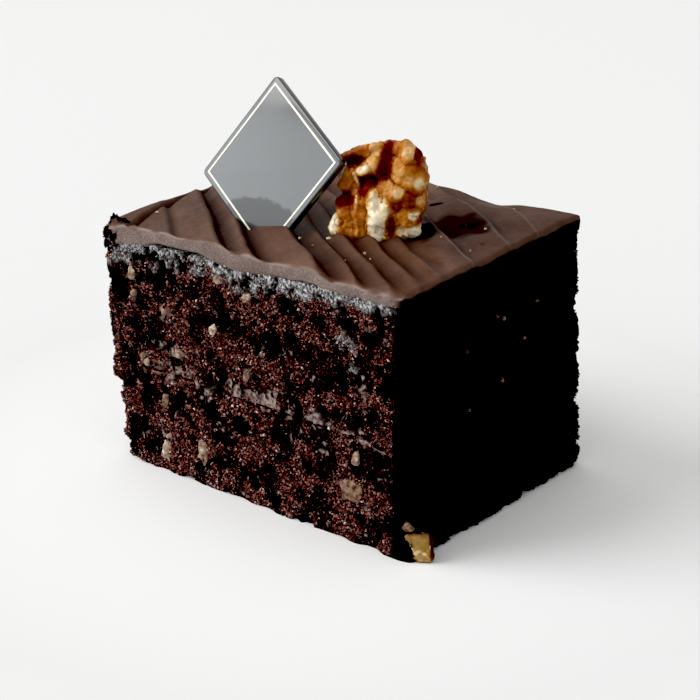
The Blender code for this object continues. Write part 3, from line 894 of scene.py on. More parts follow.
# Plaque: a tempered chocolate tile, stood on its corner, with a printed border line
plaque = {
    "side": 28.2, "thick": 1.8, "corner": 1.2, "edge": 0.4, "yaw": -2.4, "lean": 21.0, "spin": 13.5,
    "lineInset": 1.25, "lineWide": 0.42, "lineProud": 0.06,
    "markMiddle": (-10.2, -14.6, 57.2), "markWide": 11.5, "markHigh": 5.5,  # the fingermark near its foot
}


def standPlaque(piece):
    # Lays a piece, made flat in the plaque's own plane (x across, z up, facing -y), into its place
    turn = Matrix.Rotation(math.radians(plaque["yaw"]), 4, "Z")
    turn = turn @ Matrix.Rotation(math.radians(-plaque["lean"]), 4, "X")
    turn = turn @ Matrix.Rotation(math.radians(45 - plaque["spin"]), 4, "Y")
    piece.matrix_world = Matrix.Translation(foot + Vector(slab["plaqueMiddle"]) * mm) @ turn
    settle(piece)


def makePlaque():
    side, thick = plaque["side"] * mm, plaque["thick"] * mm
    selectOnly()
    bpy.ops.mesh.primitive_cube_add(size=1)
    piece = bpy.context.object
    piece.scale = (side, thick, side)
    settle(piece)
    startEdit(piece, "EDGE")
    select(piece, "edges", lambda edge: abs(edge.verts[0].co.y - edge.verts[1].co.y) > thick / 2)
    bpy.ops.mesh.bevel(offset=plaque["corner"] * mm, segments=6)
    bpy.ops.mesh.select_all(action="DESELECT")
    select(piece, "edges", lambda edge: abs(edge.verts[0].co.y - edge.verts[1].co.y) < 1e-6)
    bpy.ops.mesh.bevel(offset=plaque["edge"] * mm, segments=4)
    endEdit()
    standPlaque(piece)
    shadeSmooth(piece, 30)
    return piece


def makeBorder():
    outer = plaque["side"] / 2 - plaque["lineInset"]
    selectOnly()
    bpy.ops.mesh.primitive_plane_add(size=2 * outer * mm, rotation=(math.radians(90), 0, 0))
    piece = bpy.context.object
    settle(piece)
    startEdit(piece)
    bpy.ops.mesh.select_all(action="SELECT")
    bpy.ops.mesh.inset(thickness=plaque["lineWide"] * mm)
    bpy.ops.mesh.delete(type="FACE")
    bpy.ops.mesh.select_all(action="SELECT")
    bpy.ops.mesh.extrude_region_move(TRANSFORM_OT_translate={"value": (0, -2 * plaque["lineProud"] * mm, 0)})
    endEdit()
    faceOutwards(piece)
    for vertex in piece.data.vertices:
        vertex.co.y += (plaque["lineProud"] - plaque["thick"] / 2) * mm
    standPlaque(piece)
    return piece


def makePlaqueMaterial():
    # Tempered dark chocolate: a mould-smooth skin that mirrors the window, with a dull fingermark on it
    material, tree, shader = startMaterial("temperedChocolate")
    place = addNode(tree, "TexCoord").outputs["Object"]
    middle = foot + Vector(plaque["markMiddle"]) * mm
    perMark = tuple(perMm(plaque[side]) for side in ("markWide", "markWide", "markHigh"))
    wobble, cloudy, speck = (
        addNode(tree, "TexNoise", {"Scale": perMm(size), "Detail": detail}, {"Vector": place})
        for size, detail in ((4.0, 3.0), (9.0, 3.0), (0.5, 2.0))
    )
    far = {"operation": "MULTIPLY_ADD", 1: (3 * mm,) * 3}
    pushed = addNode(tree, "VectorMath", far, {0: wobble.outputs["Color"], 2: place})
    centred = {"Location": tuple(-(v + 1.5 * mm) * k for v, k in zip(middle, perMark)), "Scale": perMark}
    near = addNode(tree, "Mapping", centred, {"Vector": pushed})
    mark = addNode(tree, "TexGradient", {"gradient_type": "SPHERICAL"}, {"Vector": near}).outputs["Fac"]
    dull = addNode(tree, "ValToRGB", {"stops": ((0.02, 0.0), (0.12, 1.0))}, {"Fac": mark})
    rough = addNode(tree, "Mix", {2: 0.16, 3: 0.45}, {0: dull})
    coat = addNode(tree, "Mix", {2: 0.6, 3: 0.35}, {0: dull})
    colour = addNode(tree, "ValToRGB", {"stops": ((0.3, "#191717"), (0.7, "#232222"))}, {"Fac": cloudy})
    bump = addNode(tree, "Bump", {"Strength": 0.1, "Distance": 0.03 * mm}, {"Height": speck})
    painted = {"Base Color": colour, "Roughness": rough, "Normal": bump, "Coat Weight": coat}
    setNode(shader, {"IOR": 1.55, "Coat Roughness": 0.12}, painted)
    return material


def makeBorderMaterial():
    # Cocoa-butter print: a thin cream line with a faint gold shine
    material, tree, shader = startMaterial("cocoaButterPrint")
    place = addNode(tree, "TexCoord").outputs["Object"]
    worn = addNode(tree, "TexNoise", {"Scale": perMm(1.2), "Detail": 3.0}, {"Vector": place})
    colour = addNode(tree, "ValToRGB", {"stops": ((0.3, "#e9dfc4"), (0.6, "#fbf6e8"))}, {"Fac": worn})
    setNode(shader, {"Roughness": 0.35}, {"Base Color": colour})
    return material


finishPiece(makePlaque(), "plaque_tile", makePlaqueMaterial(), ("plaque",))
finishPiece(makeBorder(), "plaque_border", makeBorderMaterial())

# Walnut: half a kernel seen from its broken side. Each ridge is how much pale flesh shows on it, then the
# places that it runs through: right, back, up and its half thickness there
walnut = {
    "foot": (13.0, -5.2, 56.6), "turn": 27.0, "voxel": 0.24, "soften": 4, "fuse": 1.6, "wrinkle": 0.3,
    "creaseShade": 0.25,  # how dark the creases between the ridges are painted, a painted shade
    "face": -9.0,  # how far forward it may stand; less cuts a flat face
    "stainTo": 2.4,  # the stains are on what lies in front of this
    "seed": 4,
}
# Its colours: right and up of each stain's middle, half the width and the height, how far it leans, and its
# tone, from -1 (bare dark fold, deepened by painted shade in the hollows) by 0 (amber skin) to 1 (cream
# flesh)
walnutStains = (
    (-4.9, 17.8, 3.3, 0.9, 8, -0.35), (-4.9, 15.7, 2.4, 1.5, 0, -1.0), (-0.3, 17.9, 1.6, 2.1, 0, 0.4),
    (-0.2, 15.9, 1.5, 1.3, 0, 0.45), (-2.6, 14.7, 1.8, 1.0, 15, 0.9), (2.4, 18.4, 1.3, 2.3, 0, -0.9),
    (2.2, 15.2, 1.9, 2.7, -12, -0.95), (-1.0, 12.4, 3.0, 1.4, 8, -0.9), (-2.6, 10.4, 1.3, 1.8, 0, -0.75),
    (7.0, 18.8, 1.4, 1.6, 0, 0.5), (8.9, 18.6, 1.0, 2.0, 0, -0.9), (8.0, 18.8, 0.2, 1.8, -4, 0.6),
    (5.3, 16.4, 1.3, 1.5, 20, 0.05), (5.2, 14.6, 1.5, 1.6, 0, 0.35), (8.5, 16.2, 1.4, 1.5, 0, -0.4),
    (7.4, 12.9, 1.2, 1.1, 0, 0.3), (9.5, 12.4, 1.0, 1.2, 0, 0.75), (2.9, 11.7, 1.6, 1.4, 0, 0.15),
    (5.4, 10.7, 1.3, 1.1, 0, 0.5), (8.0, 9.4, 1.5, 2.4, 0, -0.55), (9.5, 9.0, 0.7, 1.0, 0, 0.4),
    (8.6, 6.0, 1.1, 1.0, 0, 0.9), (9.8, 5.0, 0.6, 1.0, 0, -0.6), (6.2, 5.6, 1.2, 1.0, -30, 0.1),
    (6.4, 2.0, 1.7, 1.8, 0, 0.62), (8.6, 2.2, 1.5, 1.6, 0, 0.95), (3.9, 3.6, 0.9, 3.4, 4, -0.85),
    (4.9, 7.9, 1.6, 1.4, 0, -0.45), (0.2, 9.4, 1.0, 1.3, 0, 0.75), (0.4, 6.0, 1.5, 3.4, 0, 1.0),
    (2.0, 6.6, 2.2, 2.3, 30, 0.95), (1.0, 3.0, 1.9, 3.0, 0, 1.0), (1.2, 0.8, 1.4, 1.2, 0, 0.9),
    (-2.9, 5.0, 1.3, 5.6, 0, 0.0), (-3.3, 2.2, 0.5, 2.4, 0, 0.4),
    (-4.3, 13.0, 0.25, 1.9, 24, 0.9), (-3.7, 8.6, 0.25, 3.4, -2, 0.85), (-6.0, 2.9, 1.7, 3.0, 0, -0.15),
    (-5.7, 6.4, 1.5, 0.9, 0, -0.5), (-8.5, 2.6, 1.2, 2.4, -10, 1.0), (-6.8, 8.0, 2.8, 1.9, 0, -1.0),
    (-8.0, 11.2, 2.0, 2.2, -20, -0.3),
)
walnutRidges = (
    (-0.3, ((-5.6, 1.6, 3.2, 3.0), (-4.2, 1.6, 9.6, 2.8))),
    (-0.6, ((-5.4, 3.2, 14.6, 2.2), (-2.0, 3.0, 16.0, 2.6))),
    (-0.7, ((-1.6, 2.4, 12.2, 2.4), (0.8, 2.6, 15.4, 2.9), (2.6, 2.2, 16.4, 2.6))),
    (0.0, ((2.4, 2.4, 15.0, 2.9), (6.4, 1.9, 14.6, 3.6))),
    (0.0, ((0.6, 0.8, 3.0, 3.2), (1.2, 0.9, 10.0, 3.2), (6.2, 0.6, 4.6, 3.4), (6.6, 0.6, 10.0, 3.6))),
    (0.2, ((-7.4, 0.8, 16.2, 0.9), (-5.0, 0.5, 17.4, 0.9), (-2.4, 0.2, 18.2, 1.0))),
    (0.85, ((-0.3, -1.4, 19.0, 1.3), (1.0, -1.6, 17.7, 1.6), (0.5, -2.0, 15.8, 1.6))),
    (0.85, ((0.2, -2.1, 15.2, 1.5), (-1.1, -2.2, 14.7, 1.5), (-2.9, -2.1, 14.3, 1.3))),
    (-0.6, ((1.9, 0.4, 18.6, 1.6), (3.6, 0.0, 18.9, 1.6), (5.0, 0.2, 18.6, 1.6))),
    (0.4, ((6.3, -0.8, 18.7, 1.6), (6.9, -1.1, 17.7, 1.9))),
    (-0.3, ((7.2, -0.2, 17.5, 1.1), (7.9, 0.1, 15.8, 1.1))),
    (0.35, ((8.0, -0.6, 15.6, 1.2), (8.1, -1.0, 14.6, 1.4))),
    (0.6, ((9.0, -0.8, 12.8, 1.4), (8.6, -1.0, 11.8, 1.3))),
    (0.25, ((4.6, -1.4, 15.2, 2.3), (5.8, -2.0, 14.2, 2.5), (7.6, -1.8, 13.4, 2.1))),
    (0.1, ((5.6, -2.0, 12.3, 1.5), (7.6, -2.0, 11.3, 1.7))),
    (0.25, ((3.0, -2.4, 12.0, 1.6), (3.6, -2.7, 11.0, 1.7), (4.9, -3.0, 10.1, 1.8))),
    (0.3, ((2.4, -2.6, 9.6, 1.4), (4.2, -2.7, 8.0, 1.6))),
    (0.1, ((6.6, -2.6, 9.3, 1.8), (8.2, -2.0, 8.2, 1.5))),
    (-0.15, ((3.9, -2.0, 6.0, 1.6), (4.2, -2.4, 3.8, 1.7), (3.4, -2.7, 1.6, 1.6))),
    (0.15, ((6.4, -2.5, 6.2, 1.6), (6.8, -2.7, 4.6, 1.6))),
    (0.95, ((0.1, -3.6, 9.2, 1.3), (0.1, -3.9, 7.4, 1.6), (2.4, -3.7, 6.9, 1.8), (1.6, -4.1, 5.2, 1.9))),
    (0.95, ((0.8, -4.2, 4.6, 1.8), (0.6, -4.2, 2.6, 1.7), (1.1, -4.0, 0.9, 1.4))),
    (0.75, ((5.4, -3.0, 1.9, 1.8), (7.0, -3.2, 2.0, 1.9), (8.4, -2.7, 2.2, 1.6))),
    (0.9, ((8.1, -3.0, 6.3, 1.2), (8.5, -2.9, 5.5, 1.2))),
    (0.95, ((-8.2, -2.0, 3.6, 1.1), (-8.6, -2.5, 1.9, 1.4), (-8.5, -2.6, 1.0, 1.3), (-7.2, -2.8, 0.9, 1.2))),
    (0.1, ((-6.3, -1.6, 5.6, 1.3), (-5.6, -2.3, 3.0, 1.6), (-4.8, -2.5, 0.8, 1.4))),
    (0.3, ((-3.5, -1.7, 8.6, 0.9), (-3.6, -2.4, 5.3, 1.0), (-3.4, -2.9, 1.4, 1.1))),
    (0.15, ((-2.0, -1.9, 8.6, 0.9), (-2.2, -2.7, 4.6, 1.1), (-2.2, -2.9, 1.0, 1.2))),
    (0.3, (
        (-4.9, -1.2, 14.2, 0.3), (-3.8, -1.5, 11.8, 0.35), (-3.6, -2.0, 8.8, 0.35), (-3.6, -2.6, 5.4, 0.35),
    )),
    (0.25, ((-6.1, -0.3, 12.9, 1.5), (-7.3, -0.2, 10.6, 1.4))),
    (-0.5, ((-7.7, -0.6, 6.9, 1.2), (-6.4, -0.9, 6.4, 1.3))),
    (0.2, ((-1.2, -1.4, 11.4, 0.7), (-1.5, -1.8, 8.8, 0.8))),
    (-0.05, ((-6.4, 4.0, 3.4, 1.9), (-6.6, 4.2, 8.6, 1.8), (-4.6, 4.2, 12.2, 1.9), (-5.0, 4.0, 15.4, 1.5))),
    (-0.15, ((-2.6, 4.8, 2.6, 1.9), (-2.0, 5.0, 7.4, 1.8), (0.4, 4.9, 11.2, 1.9), (-1.0, 4.8, 15.6, 1.8))),
    (0.05, ((2.2, 4.9, 4.8, 1.8), (4.2, 4.9, 8.8, 1.9), (3.4, 4.8, 13.6, 1.9), (5.0, 4.0, 17.2, 1.8))),
    (-0.1, ((6.8, 4.3, 3.6, 1.9), (8.2, 3.8, 7.8, 1.8), (7.4, 4.2, 12.4, 1.9), (7.4, 2.8, 15.2, 1.5))),
)


def ridgeBalls(ridges):
    # A ridge is a row of balls, closer together than they are thick
    balls = []
    for _, stops in ridges:
        for start, end in zip(stops, stops[1:]):
            steps = max(1, math.ceil(math.dist(start[:3], end[:3]) / (0.5 * min(start[3], end[3]))))
            for step in range(steps + 1):
                balls.append(Vector(start) * (1 - step / steps) + Vector(end) * (step / steps))
    return balls


def ridgeReach(local, stops):
    # How far each point stands off a ridge's skin
    reach = np.full(len(local), np.inf)
    for start, end in zip(stops, stops[1:]):
        start, end = np.array(start), np.array(end)
        along = end[:3] - start[:3]
        share = np.clip((local - start[:3]) @ along / (along @ along), 0, 1)
        away = np.linalg.norm(local - start[:3] - share[:, None] * along, axis=1)
        reach = np.minimum(reach, away - start[3] - share * (end[3] - start[3]))
    return reach


def stained(local, stains, plain, ragged):
    # The tone at each point, where plain is the tone between the stains
    total, weight = 1.0 * plain, np.ones(len(local))
    for right, up, halfWide, halfHigh, lean, tone in stains:
        x, z, lean = local[:, 0] - right, local[:, 2] - up, math.radians(lean)
        across = (x * math.cos(lean) + z * math.sin(lean)) / halfWide
        along = (z * math.cos(lean) - x * math.sin(lean)) / halfHigh
        share = np.exp(-7 * (np.hypot(across, along) + ragged - 1))
        total += share * tone
        weight += share
    return total / weight


def reachOf(points, nut, turned, ridges):
    # The points in the nut's own frame, and how far each stands off each ridge
    local = (points - np.array(nut["foot"])) @ turned
    return local, np.array([ridgeReach(local, stops) for _, stops in ridges])


def fuseBalls(nut, spin, ridges):
    # One lump of all the ridges' balls
    selectOnly()
    bpy.ops.mesh.primitive_ico_sphere_add(subdivisions=2, radius=mm)
    first = bpy.context.object
    balls = []
    for right, back, up, thick in ridgeBalls(ridges):
        ball = bpy.data.objects.new("ball", first.data.copy())
        bpy.context.scene.collection.objects.link(ball)
        place = foot + (Vector(nut["foot"]) + spin @ Vector((right, back, up))) * mm
        ball.matrix_world = Matrix.Translation(place) @ Matrix.Scale(thick, 4)
        balls.append(ball)
    bpy.data.objects.remove(first)
    piece = joinInto(balls[0], balls)
    settle(piece)
    applyModifier(piece, "REMESH", mode="VOXEL", voxel_size=nut["voxel"] * mm)
    applyModifier(piece, "SMOOTH", factor=0.5, iterations=nut["soften"])
    return piece


# Ridges paler than this break into chips; how far out each chip is cut and how wide it is, in thicknesses
chipping = {"palerThan": 0.45, "cutAt": 0.78, "within": 1.5, "each": 4}


def breakChips(local, reach, ridges, dice):
    # Pale flesh breaks in flat chips, but not where another ridge is near
    for index, (shown, stops) in enumerate(ridges):
        if shown < chipping["palerThan"]:
            continue
        beside = smooth((np.delete(reach, index, axis=0).min(axis=0) - reach[index]) / 0.7)
        for *middle, thick in stops:
            for _ in range(chipping["each"]):
                way = dice.normal(size=3) * np.array([1.0, 0.7, 1.0]) - np.array([0, 0.6, 0])
                way = way / np.linalg.norm(way)
                over = np.clip((local - np.array(middle)) @ way - chipping["cutAt"] * thick, 0, None)
                away = np.linalg.norm(local - np.array(middle), axis=1)
                near = beside * (away < chipping["within"] * thick)
                local = local - (over * near)[:, None] * way
    return local


def makeNut(nut, ridges, stains):
    spin = Matrix.Rotation(math.radians(nut["turn"]), 4, "Z")
    piece = fuseBalls(nut, spin, ridges)
    turned, fuse, seed = np.array(spin.to_3x3()), nut["fuse"], nut["seed"]
    for _ in range(2):
        # The folds between the ridges fill up
        points = getPoints(piece)
        _, reach = reachOf(points, nut, turned, ridges)
        fill = np.log(np.exp(-fuse * (reach - reach.min(axis=0))).sum(axis=0)) / fuse
        setPoints(piece, points + getNormals(piece) * np.clip(fill + reach.min(axis=0), 0, 0.5)[:, None])
        applyModifier(piece, "SMOOTH", factor=0.5, iterations=nut["soften"] // 2)
    local, reach = reachOf(getPoints(piece), nut, turned, ridges)
    local = breakChips(local, reach, ridges, np.random.default_rng(seed))
    local[:, 1] = np.maximum(local[:, 1], nut["face"] + 0.35 * noiseAt(local, 1.6, seed + 6))
    points = local @ turned.T + np.array(nut["foot"])
    # Its tone: the ridges' own at the back, the stains' at the front, darker in the creases as a painted
    # shade
    weight = np.exp(-5 * (reach - reach.min(axis=0)))
    plain = (weight * np.array([ridge[0] for ridge in ridges])[:, None]).sum(axis=0) / weight.sum(axis=0)
    onFace = smooth((nut["stainTo"] - local[:, 1]) / 1.2)
    ragged = 0.28 * noiseAt(points, 1.4, seed + 7) + 0.12 * noiseAt(points, 0.6, seed + 8)
    tone = plain * (1 - onFace) + stained(local, stains, 0 * plain, ragged) * onFace
    nearest = np.sort(reach, axis=0)
    crease = (1 - smooth((nearest[1] - nearest[0]) / 0.5)) * (1 - smooth(tone / 0.8))
    # Its skin is wrinkled, the flesh less so
    bent = points + 0.6 * np.stack([noiseAt(points, 1.8, seed + k) for k in (1, 2, 3)], axis=-1)
    wrinkles = np.abs(noiseAt(bent * np.array([1, 1, 0.55]), 1.1, seed + 5))
    push = nut["wrinkle"] * (1.4 * noiseAt(points, 2.0, seed) + 0.9 * wrinkles - 0.3)
    push = push * (1 - 0.6 * np.clip(tone, 0, 1)) + 0.07 * noiseAt(points, 0.55, seed + 9)
    points = points + getNormals(piece) * push[:, None]
    points[:, 2] = np.maximum(points[:, 2], 0.02)
    setPoints(piece, points)
    # The creases and the wrinkles' grooves in the skin are painted darker, a painted shade
    tone = tone - nut["creaseShade"] * crease - 0.15 * smooth((0.1 - wrinkles) / 0.1) * (tone < 0.4)
    setValues(piece, "tone", 0.5 + 0.5 * np.clip(tone, -1, 1))
    shadeSmooth(piece)
    return piece


def makeNutMaterial(name, tones):
    # Roasted walnut: a thin amber skin, oily and dark red-brown in its folds, partly its own colour and
    # partly painted shade, over cream-coloured flesh
    material, tree, shader = startMaterial(name)
    place = addNode(tree, "TexCoord").outputs["Object"]
    tone = addNode(tree, "Attribute", {"attribute_name": "tone"}).outputs["Fac"]
    blotch, fine = (
        addNode(tree, "TexNoise", {"Scale": perMm(size), "Detail": detail}, {"Vector": place})
        for size, detail in ((2.2, 4.0), (0.7, 3.0))
    )
    grain = addNode(tree, "Mix", {0: 0.45}, {2: blotch, 3: fine})
    swing = addNode(tree, "Math", {"operation": "MULTIPLY_ADD", 1: 0.7, 2: -0.35}, {0: grain})
    varied = addNode(tree, "Math", {"operation": "ADD"}, {0: tone, 1: swing})
    colour = addNode(tree, "ValToRGB", {"stops": tones}, {"Fac": varied})
    oily = addNode(tree, "ValToRGB", {"stops": ((0.15, 0.02), (0.5, 0.3))}, {"Fac": tone})
    bump = addNode(tree, "Bump", {"Strength": 0.6, "Distance": 0.12 * mm}, {"Height": fine})
    through = {"Subsurface Weight": 0.08, "Subsurface Radius": (1.0, 0.4, 0.15), "Subsurface Scale": mm}
    painted = {"Base Color": colour, "Specular IOR Level": oily, "Normal": bump}
    setNode(shader, {"Roughness": 0.34, **through}, painted)
    return material


skinTones = (
    (0.0, "#4a0300"), (1.0, "#fff0d2"), (0.12, "#690b00"), (0.26, "#823b00"), (0.38, "#9a5203"),
    (0.5, "#b26c0e"), (0.6, "#c28334"), (0.7, "#cc9c60"), (0.8, "#d8b884"), (0.9, "#ecd8b0"),
)
finishPiece(
    makeNut(walnut, walnutRidges, walnutStains),
    "walnut_kernel",
    makeNutMaterial("roastedWalnut", skinTones),
    ("walnut_half",),
)

# The piece of walnut that sticks out of the crumb at the foot of the front corner, cut flat by the knife
cornerNut = {
    "foot": (43.3, -29.3, 0.0), "turn": 35.0, "voxel": 0.17, "soften": 4, "fuse": 4.0, "wrinkle": 0.2,
    "creaseShade": 0.1, "face": -1.0, "stainTo": 3.0, "seed": 12,
}
cornerRidges = (
    (0.1, (
        (-2.2, 0.0, 5.3, 0.5), (-0.9, 0.0, 4.8, 1.3), (0.4, 0.0, 4.8, 1.5), (1.5, 0.0, 4.6, 1.4),
        (2.4, 0.1, 5.4, 0.7),
    )),
    (0.1, ((0.2, 0.0, 3.6, 1.6), (1.7, 0.0, 3.6, 1.6), (2.0, 0.0, 2.3, 1.6), (0.6, 0.0, 2.3, 1.6))),
    (0.3, ((0.5, -0.2, 1.2, 1.3), (2.4, -0.1, 1.0, 1.3))),
    (0.1, ((0.6, 0.9, 2.4, 1.8), (0.3, 0.9, 4.4, 1.5))),
)
cornerStains = (
    (-1.9, 5.2, 1.2, 1.7, 20, -0.25), (0.2, 4.7, 1.4, 1.5, 0, 0.25), (1.8, 5.4, 0.9, 1.3, 0, 0.0),
    (1.7, 3.4, 0.9, 1.3, 0, 0.02), (-0.9, 2.7, 0.35, 1.0, 25, 0.9), (0.3, 2.5, 0.9, 0.5, 20, 0.75),
    (1.6, 2.1, 0.6, 0.4, 0, 0.85), (0.6, 1.2, 1.2, 0.8, 0, 0.4), (2.0, 0.9, 1.0, 0.7, 0, 0.3),
    (3.2, 4.2, 0.8, 3.6, 6, -1.0), (3.4, 1.0, 0.7, 0.7, 0, -0.7), (1.2, -0.1, 3.0, 0.5, 0, -0.7),
    (-1.4, 3.9, 0.5, 0.9, 30, 0.4), (0.9, 6.6, 2.8, 0.55, 0, -0.8), (2.7, 3.6, 0.3, 0.7, 0, 0.75),
    (-0.2, 1.9, 0.5, 0.4, 0, 0.8), (1.0, 0.7, 0.4, 0.3, 0, 0.75), (2.2, 1.4, 0.3, 0.3, 0, 0.7),
    (-0.6, 0.3, 0.8, 0.8, 0, -0.9),
)
cutTones = (
    (0.0, "#2c0000"), (1.0, "#e6cb9a"), (0.2, "#5c2a04"), (0.4, "#86663c"), (0.5, "#8e6a14"),
    (0.62, "#a08048"), (0.75, "#ab8c58"), (0.88, "#d0ae7c"),
)
finishPiece(
    makeNut(cornerNut, cornerRidges, cornerStains),
    "corner_walnut_piece",
    makeNutMaterial("cutWalnut", cutTones),
    ("corner_walnut",),
)


def makeBall(subdivisions):
    selectOnly()
    bpy.ops.mesh.primitive_ico_sphere_add(subdivisions=subdivisions, radius=1)
    ball = bpy.context.object
    return ball, np.array([vertex.co for vertex in ball.data.vertices])


def makeChips(chips, seed):
    # Bits of walnut: each is a lump with flat chips knocked off. Place, half sizes, how pale
    dice = np.random.default_rng(seed)
    lumps = []
    for place, halfSizes, pale in chips:
        lump, points = makeBall(4)
        for _ in range(9):
            way = dice.normal(size=3)
            way = way / np.linalg.norm(way)
            over = np.clip(points @ way - dice.uniform(0.68, 0.95), 0, None)
            points = points - over[:, None] * way
        points = points * np.array(halfSizes)
        rough = 0.35 * noiseAt(points + np.array(place), 1.0, seed)
        setPoints(lump, points * (1 + rough)[:, None] + np.array(place))
        setValues(lump, "pale", np.full(len(points), pale))
        shadeSmooth(lump, 40)
        lumps.append(lump)
    return joinInto(lumps[0], lumps)


def onFront(x, z):
    place = leaned(np.array([x]), np.array([-slab["depth"] / 2]), np.array([z]))[0]
    return (x, place[1] - slab["swell"], z)


def onRight(y, z):
    place = leaned(np.array([slab["length"] / 2]), np.array([y]), np.array([z]))[0]
    return (place[0] + slab["swell"] + slab["swellRight"] - 0.3, y, z)


# Walnut in the crumb, cut through by the knife: x, z, half the width and the height, how pale
frontBits = (
    (-25.8, 4.5, 1.4, 2.4, 0.85), (-14.6, 7.7, 1.3, 2.4, 0.72), (27.5, 11.2, 2.7, 2.2, 0.56),
    (29.0, 18.9, 1.0, 1.6, 0.75), (-10.1, 37.4, 0.9, 1.1, 0.95), (-24.7, 38.0, 0.8, 0.8, 0.7),
    (-20.9, 29.0, 1.3, 0.9, 0.75),
    (-25.6, 17.0, 0.8, 1.5, 0.7), (-0.5, 29.3, 0.7, 1.1, 0.6), (-30.7, 24.7, 0.6, 0.8, 0.8),
    (-24.9, 8.6, 0.45, 0.45, 1.0), (-32.0, 26.2, 0.5, 0.5, 0.9), (-34.5, 44.7, 0.9, 1.7, 0.85),
    (-7.9, 49.0, 1.2, 0.9, 0.8), (-0.1, 46.8, 0.9, 0.9, 0.85), (-33.9, 40.2, 0.6, 0.6, 0.8),
)
# The same on the right side: y, z, half the width and the height
rightBits = (
    (-11.8, 39.6, 0.6, 0.5), (0.8, 43.0, 0.5, 0.5), (13.0, 43.5, 0.5, 0.4), (27.6, 50.5, 0.4, 0.4),
    (-1.7, 44.1, 0.4, 0.4), (0.4, 29.4, 0.6, 0.8), (-11.3, 26.7, 0.5, 0.5), (8.3, 36.6, 0.5, 0.4),
)
chips = [(onFront(x, z), (1.15 * wide, 0.9, 1.15 * high), pale) for x, z, wide, high, pale in frontBits]
chips += [(onRight(y, z), (0.7, wide, high), 0.45) for y, z, wide, high in rightBits]
chips += [((42.5, -31.2, 7.9), (1.3, 0.9, 1.2), 0.5)]  # one that hangs over the piece at the corner


def makeBuriedMaterial():
    # Walnut that baked in the crumb: cream to greyish tan, dull, stained brown round its rim
    material, tree, shader = startMaterial("bakedWalnut")
    place = addNode(tree, "TexCoord").outputs["Object"]
    pale = addNode(tree, "Attribute", {"attribute_name": "pale"}).outputs["Fac"]
    fine = addNode(tree, "TexNoise", {"Scale": perMm(1.0), "Detail": 4.0}, {"Vector": place})
    varied = addNode(tree, "Math", {"operation": "MULTIPLY"}, {0: fine, 1: pale})
    tones = {"stops": ((0.2, "#3c1e10"), (0.56, "#d8c4ae"), (0.3, "#7e604a"), (0.42, "#978471"))}
    colour = addNode(tree, "ValToRGB", tones, {"Fac": varied})
    bump = addNode(tree, "Bump", {"Strength": 0.6, "Distance": 0.1 * mm}, {"Height": fine})
    setNode(shader, {"Roughness": 0.5, "Specular IOR Level": 0.2}, {"Base Color": colour, "Normal": bump})
    return material


buriedMaterial = makeBuriedMaterial()
finishPiece(makeChips(chips, 21), "crumb_walnut_bits", buriedMaterial)

# Loose crumbs of walnut that fell on the frosting: x and y
fallen = (
    (4.6, 26.4), (26.8, 24.7), (24.7, 10.2), (35.7, -3.2), (22.4, -18.9), (20.3, -18.1), (9.4, -24.8),
    (4.7, -20.1), (19.4, -23.1), (-36.1, -21.3), (8.6, -15.6), (6.2, -17.8), (27.4, -2.0), (31.0, 8.4),
)


def makeFallen():
    dice = np.random.default_rng(8)
    heights = frostingTop(np.array([(x, y, 0.0) for x, y in fallen]))
    sizes = [tuple(dice.uniform(0.16, 0.42) * dice.uniform(0.6, 1.3, 3)) for _ in fallen]
    return makeChips([((x, y, z + 0.12), size, 1.0) for (x, y), z, size in zip(fallen, heights, sizes)], 22)


finishPiece(makeFallen(), "walnut_crumbs", buriedMaterial)

# The clod of crumb that stuck to the frosting's front left corner
clod = {
    "lumps": (  # each its middle and its half sizes
        ((-40.7, -30.2, 51.3), (2.9, 1.8, 3.1)), ((-42.4, -28.2, 52.2), (1.6, 2.2, 2.9)),
        ((-39.4, -28.9, 54.5), (2.1, 1.1, 0.9)),
    ),
    "grains": 900,
    "darkAndShade": 0.75,  # how dark it is
}


def makeClod():
    lumps = []
    for middle, halfSizes in clod["lumps"]:
        lump, points = makeBall(6)
        points = points * np.array(halfSizes) + np.array(middle)
        push = 0.9 * noiseAt(points, 1.5, 33) + 0.6 * noiseAt(points, 0.8, 34) - 0.5 * creaseAt(points, 1.5)
        setPoints(lump, points + getNormals(lump) * push[:, None])
        lumps.append(lump)
    piece = joinInto(lumps[-1], lumps)
    for name, value in (("cave", 0.0), ("smeared", 0.0), ("film", 0.0), ("darkAndShade", clod["darkAndShade"])):
        setValues(piece, name, np.full(len(piece.data.vertices), value))
    return piece


clodPiece = makeClod()
clodGrains = makeGrains(clodPiece, clod["grains"], 6)
finishPiece(clodPiece, "corner_clod", spongeMaterial)
finishPiece(clodGrains, "corner_clod_grains", grainMaterial)


def makeStage():
    floor = {"reach": 3.0, "colour": "#e6e6e5", "middle": "#f6f6f5", "pool": 0.105}  # sizes in metres
    selectOnly()
    bpy.ops.mesh.primitive_plane_add(size=floor["reach"] * 2, location=(foot.x, foot.y, 0))
    piece = bpy.context.object
    piece.name = "floor"
    # Painted board: matt and plain, with a painted pool of light, a little paler round where the slice stands
    material, tree, shader = startMaterial("paintedBoard")
    place = addNode(tree, "TexCoord").outputs["Object"]
    spread = {"vector_type": "TEXTURE", "Scale": (floor["pool"],) * 3}
    centred = addNode(tree, "Mapping", spread, {"Vector": place})
    pool = addNode(tree, "TexGradient", {"gradient_type": "SPHERICAL"}, {"Vector": centred}).outputs["Fac"]
    tones = {"stops": ((0.0, floor["colour"]), (0.5, floor["middle"]))}
    paint = addNode(tree, "ValToRGB", tones, {"Fac": pool})
    setNode(shader, {"Roughness": 0.9, "Specular IOR Level": 0.1}, {"Base Color": paint})
    piece.data.materials.append(material)


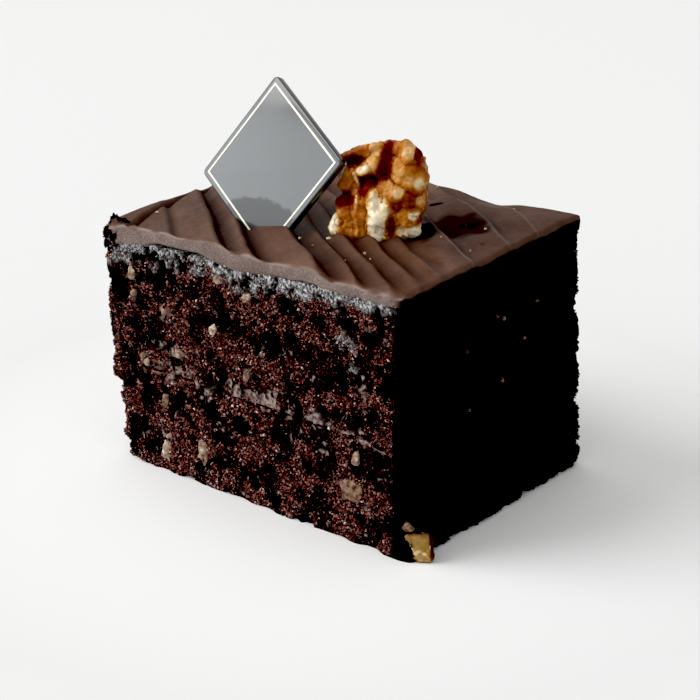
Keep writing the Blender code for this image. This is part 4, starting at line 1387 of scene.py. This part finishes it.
def makeLights():
    lights = {
        "sun": 1.52, "sunSpread": 38, "sunFrom": (-0.765, -0.645, 0.88),
        "window": 3.1, "windowFrom": (-0.69, -0.72, 0.19), "windowAway": 1.5, "windowSize": (1.0, 0.6),
        "windowFacing": (-0.0105, -0.0115, 0.068), "windowTint": (0.9, 0.97, 1.0),
        "sky": (0.52, 0.96), "skyFrom": (-0.6, -0.55, 0.58),  # the room's dim side and its bright side
    }
    world = bpy.data.worlds.new("studio")
    bpy.context.scene.world = world
    world.use_nodes = True
    tree = world.node_tree
    way = addNode(tree, "TexCoord").outputs["Generated"]
    side = addNode(tree, "VectorMath", {"operation": "DOT_PRODUCT", 1: lights["skyFrom"]}, {0: way})
    dim, bright = lights["sky"]
    span = {"From Min": -0.35, "From Max": 0.9, "To Min": dim, "To Max": bright}
    sky = addNode(tree, "MapRange", span, {"Value": side.outputs["Value"]})
    setNode(tree.nodes["Background"], {"Color": (1, 1, 1, 1)}, {"Strength": sky.outputs["Result"]})
    sunward = Vector(lights["sunFrom"]).to_track_quat("Z", "Y").to_euler()
    bpy.ops.object.light_add(type="SUN", rotation=sunward)
    sun = bpy.context.object
    sun.data.energy = lights["sun"]
    sun.data.angle = math.radians(lights["sunSpread"])
    away = Vector(lights["windowFrom"]).normalized()
    bpy.ops.object.light_add(
        type="AREA",
        location=foot + Vector(lights["windowFacing"]) + away * lights["windowAway"],
        rotation=away.to_track_quat("Z", "Y").to_euler(),
    )
    window = bpy.context.object
    window.data.color = lights["windowTint"]
    window.data.shape = "RECTANGLE"
    window.data.size, window.data.size_y = lights["windowSize"]
    window.data.energy = lights["window"] * math.pi * window.data.size * window.data.size_y
    window.visible_camera = False


def makeCamera():
    lens = {"place": (239.94, -284.46, 170.27), "turn": 40.0, "down": 21.2, "focal": 92.57}
    bpy.ops.object.camera_add(
        location=foot + Vector(lens["place"]) * mm,
        rotation=(math.radians(90 - lens["down"]), 0, math.radians(lens["turn"])),
    )
    camera = bpy.context.object
    camera.data.lens = lens["focal"]
    camera.data.sensor_width = 36
    camera.data.clip_start = 0.01
    camera.data.clip_end = 20
    bpy.context.scene.camera = camera


makeStage()
makeLights()
makeCamera()
look = bpy.context.scene.view_settings
look.view_transform = "Standard"
look.use_curve_mapping = True
look.curve_mapping.black_level = (0.012, 0.012, 0.012)
look.curve_mapping.update()
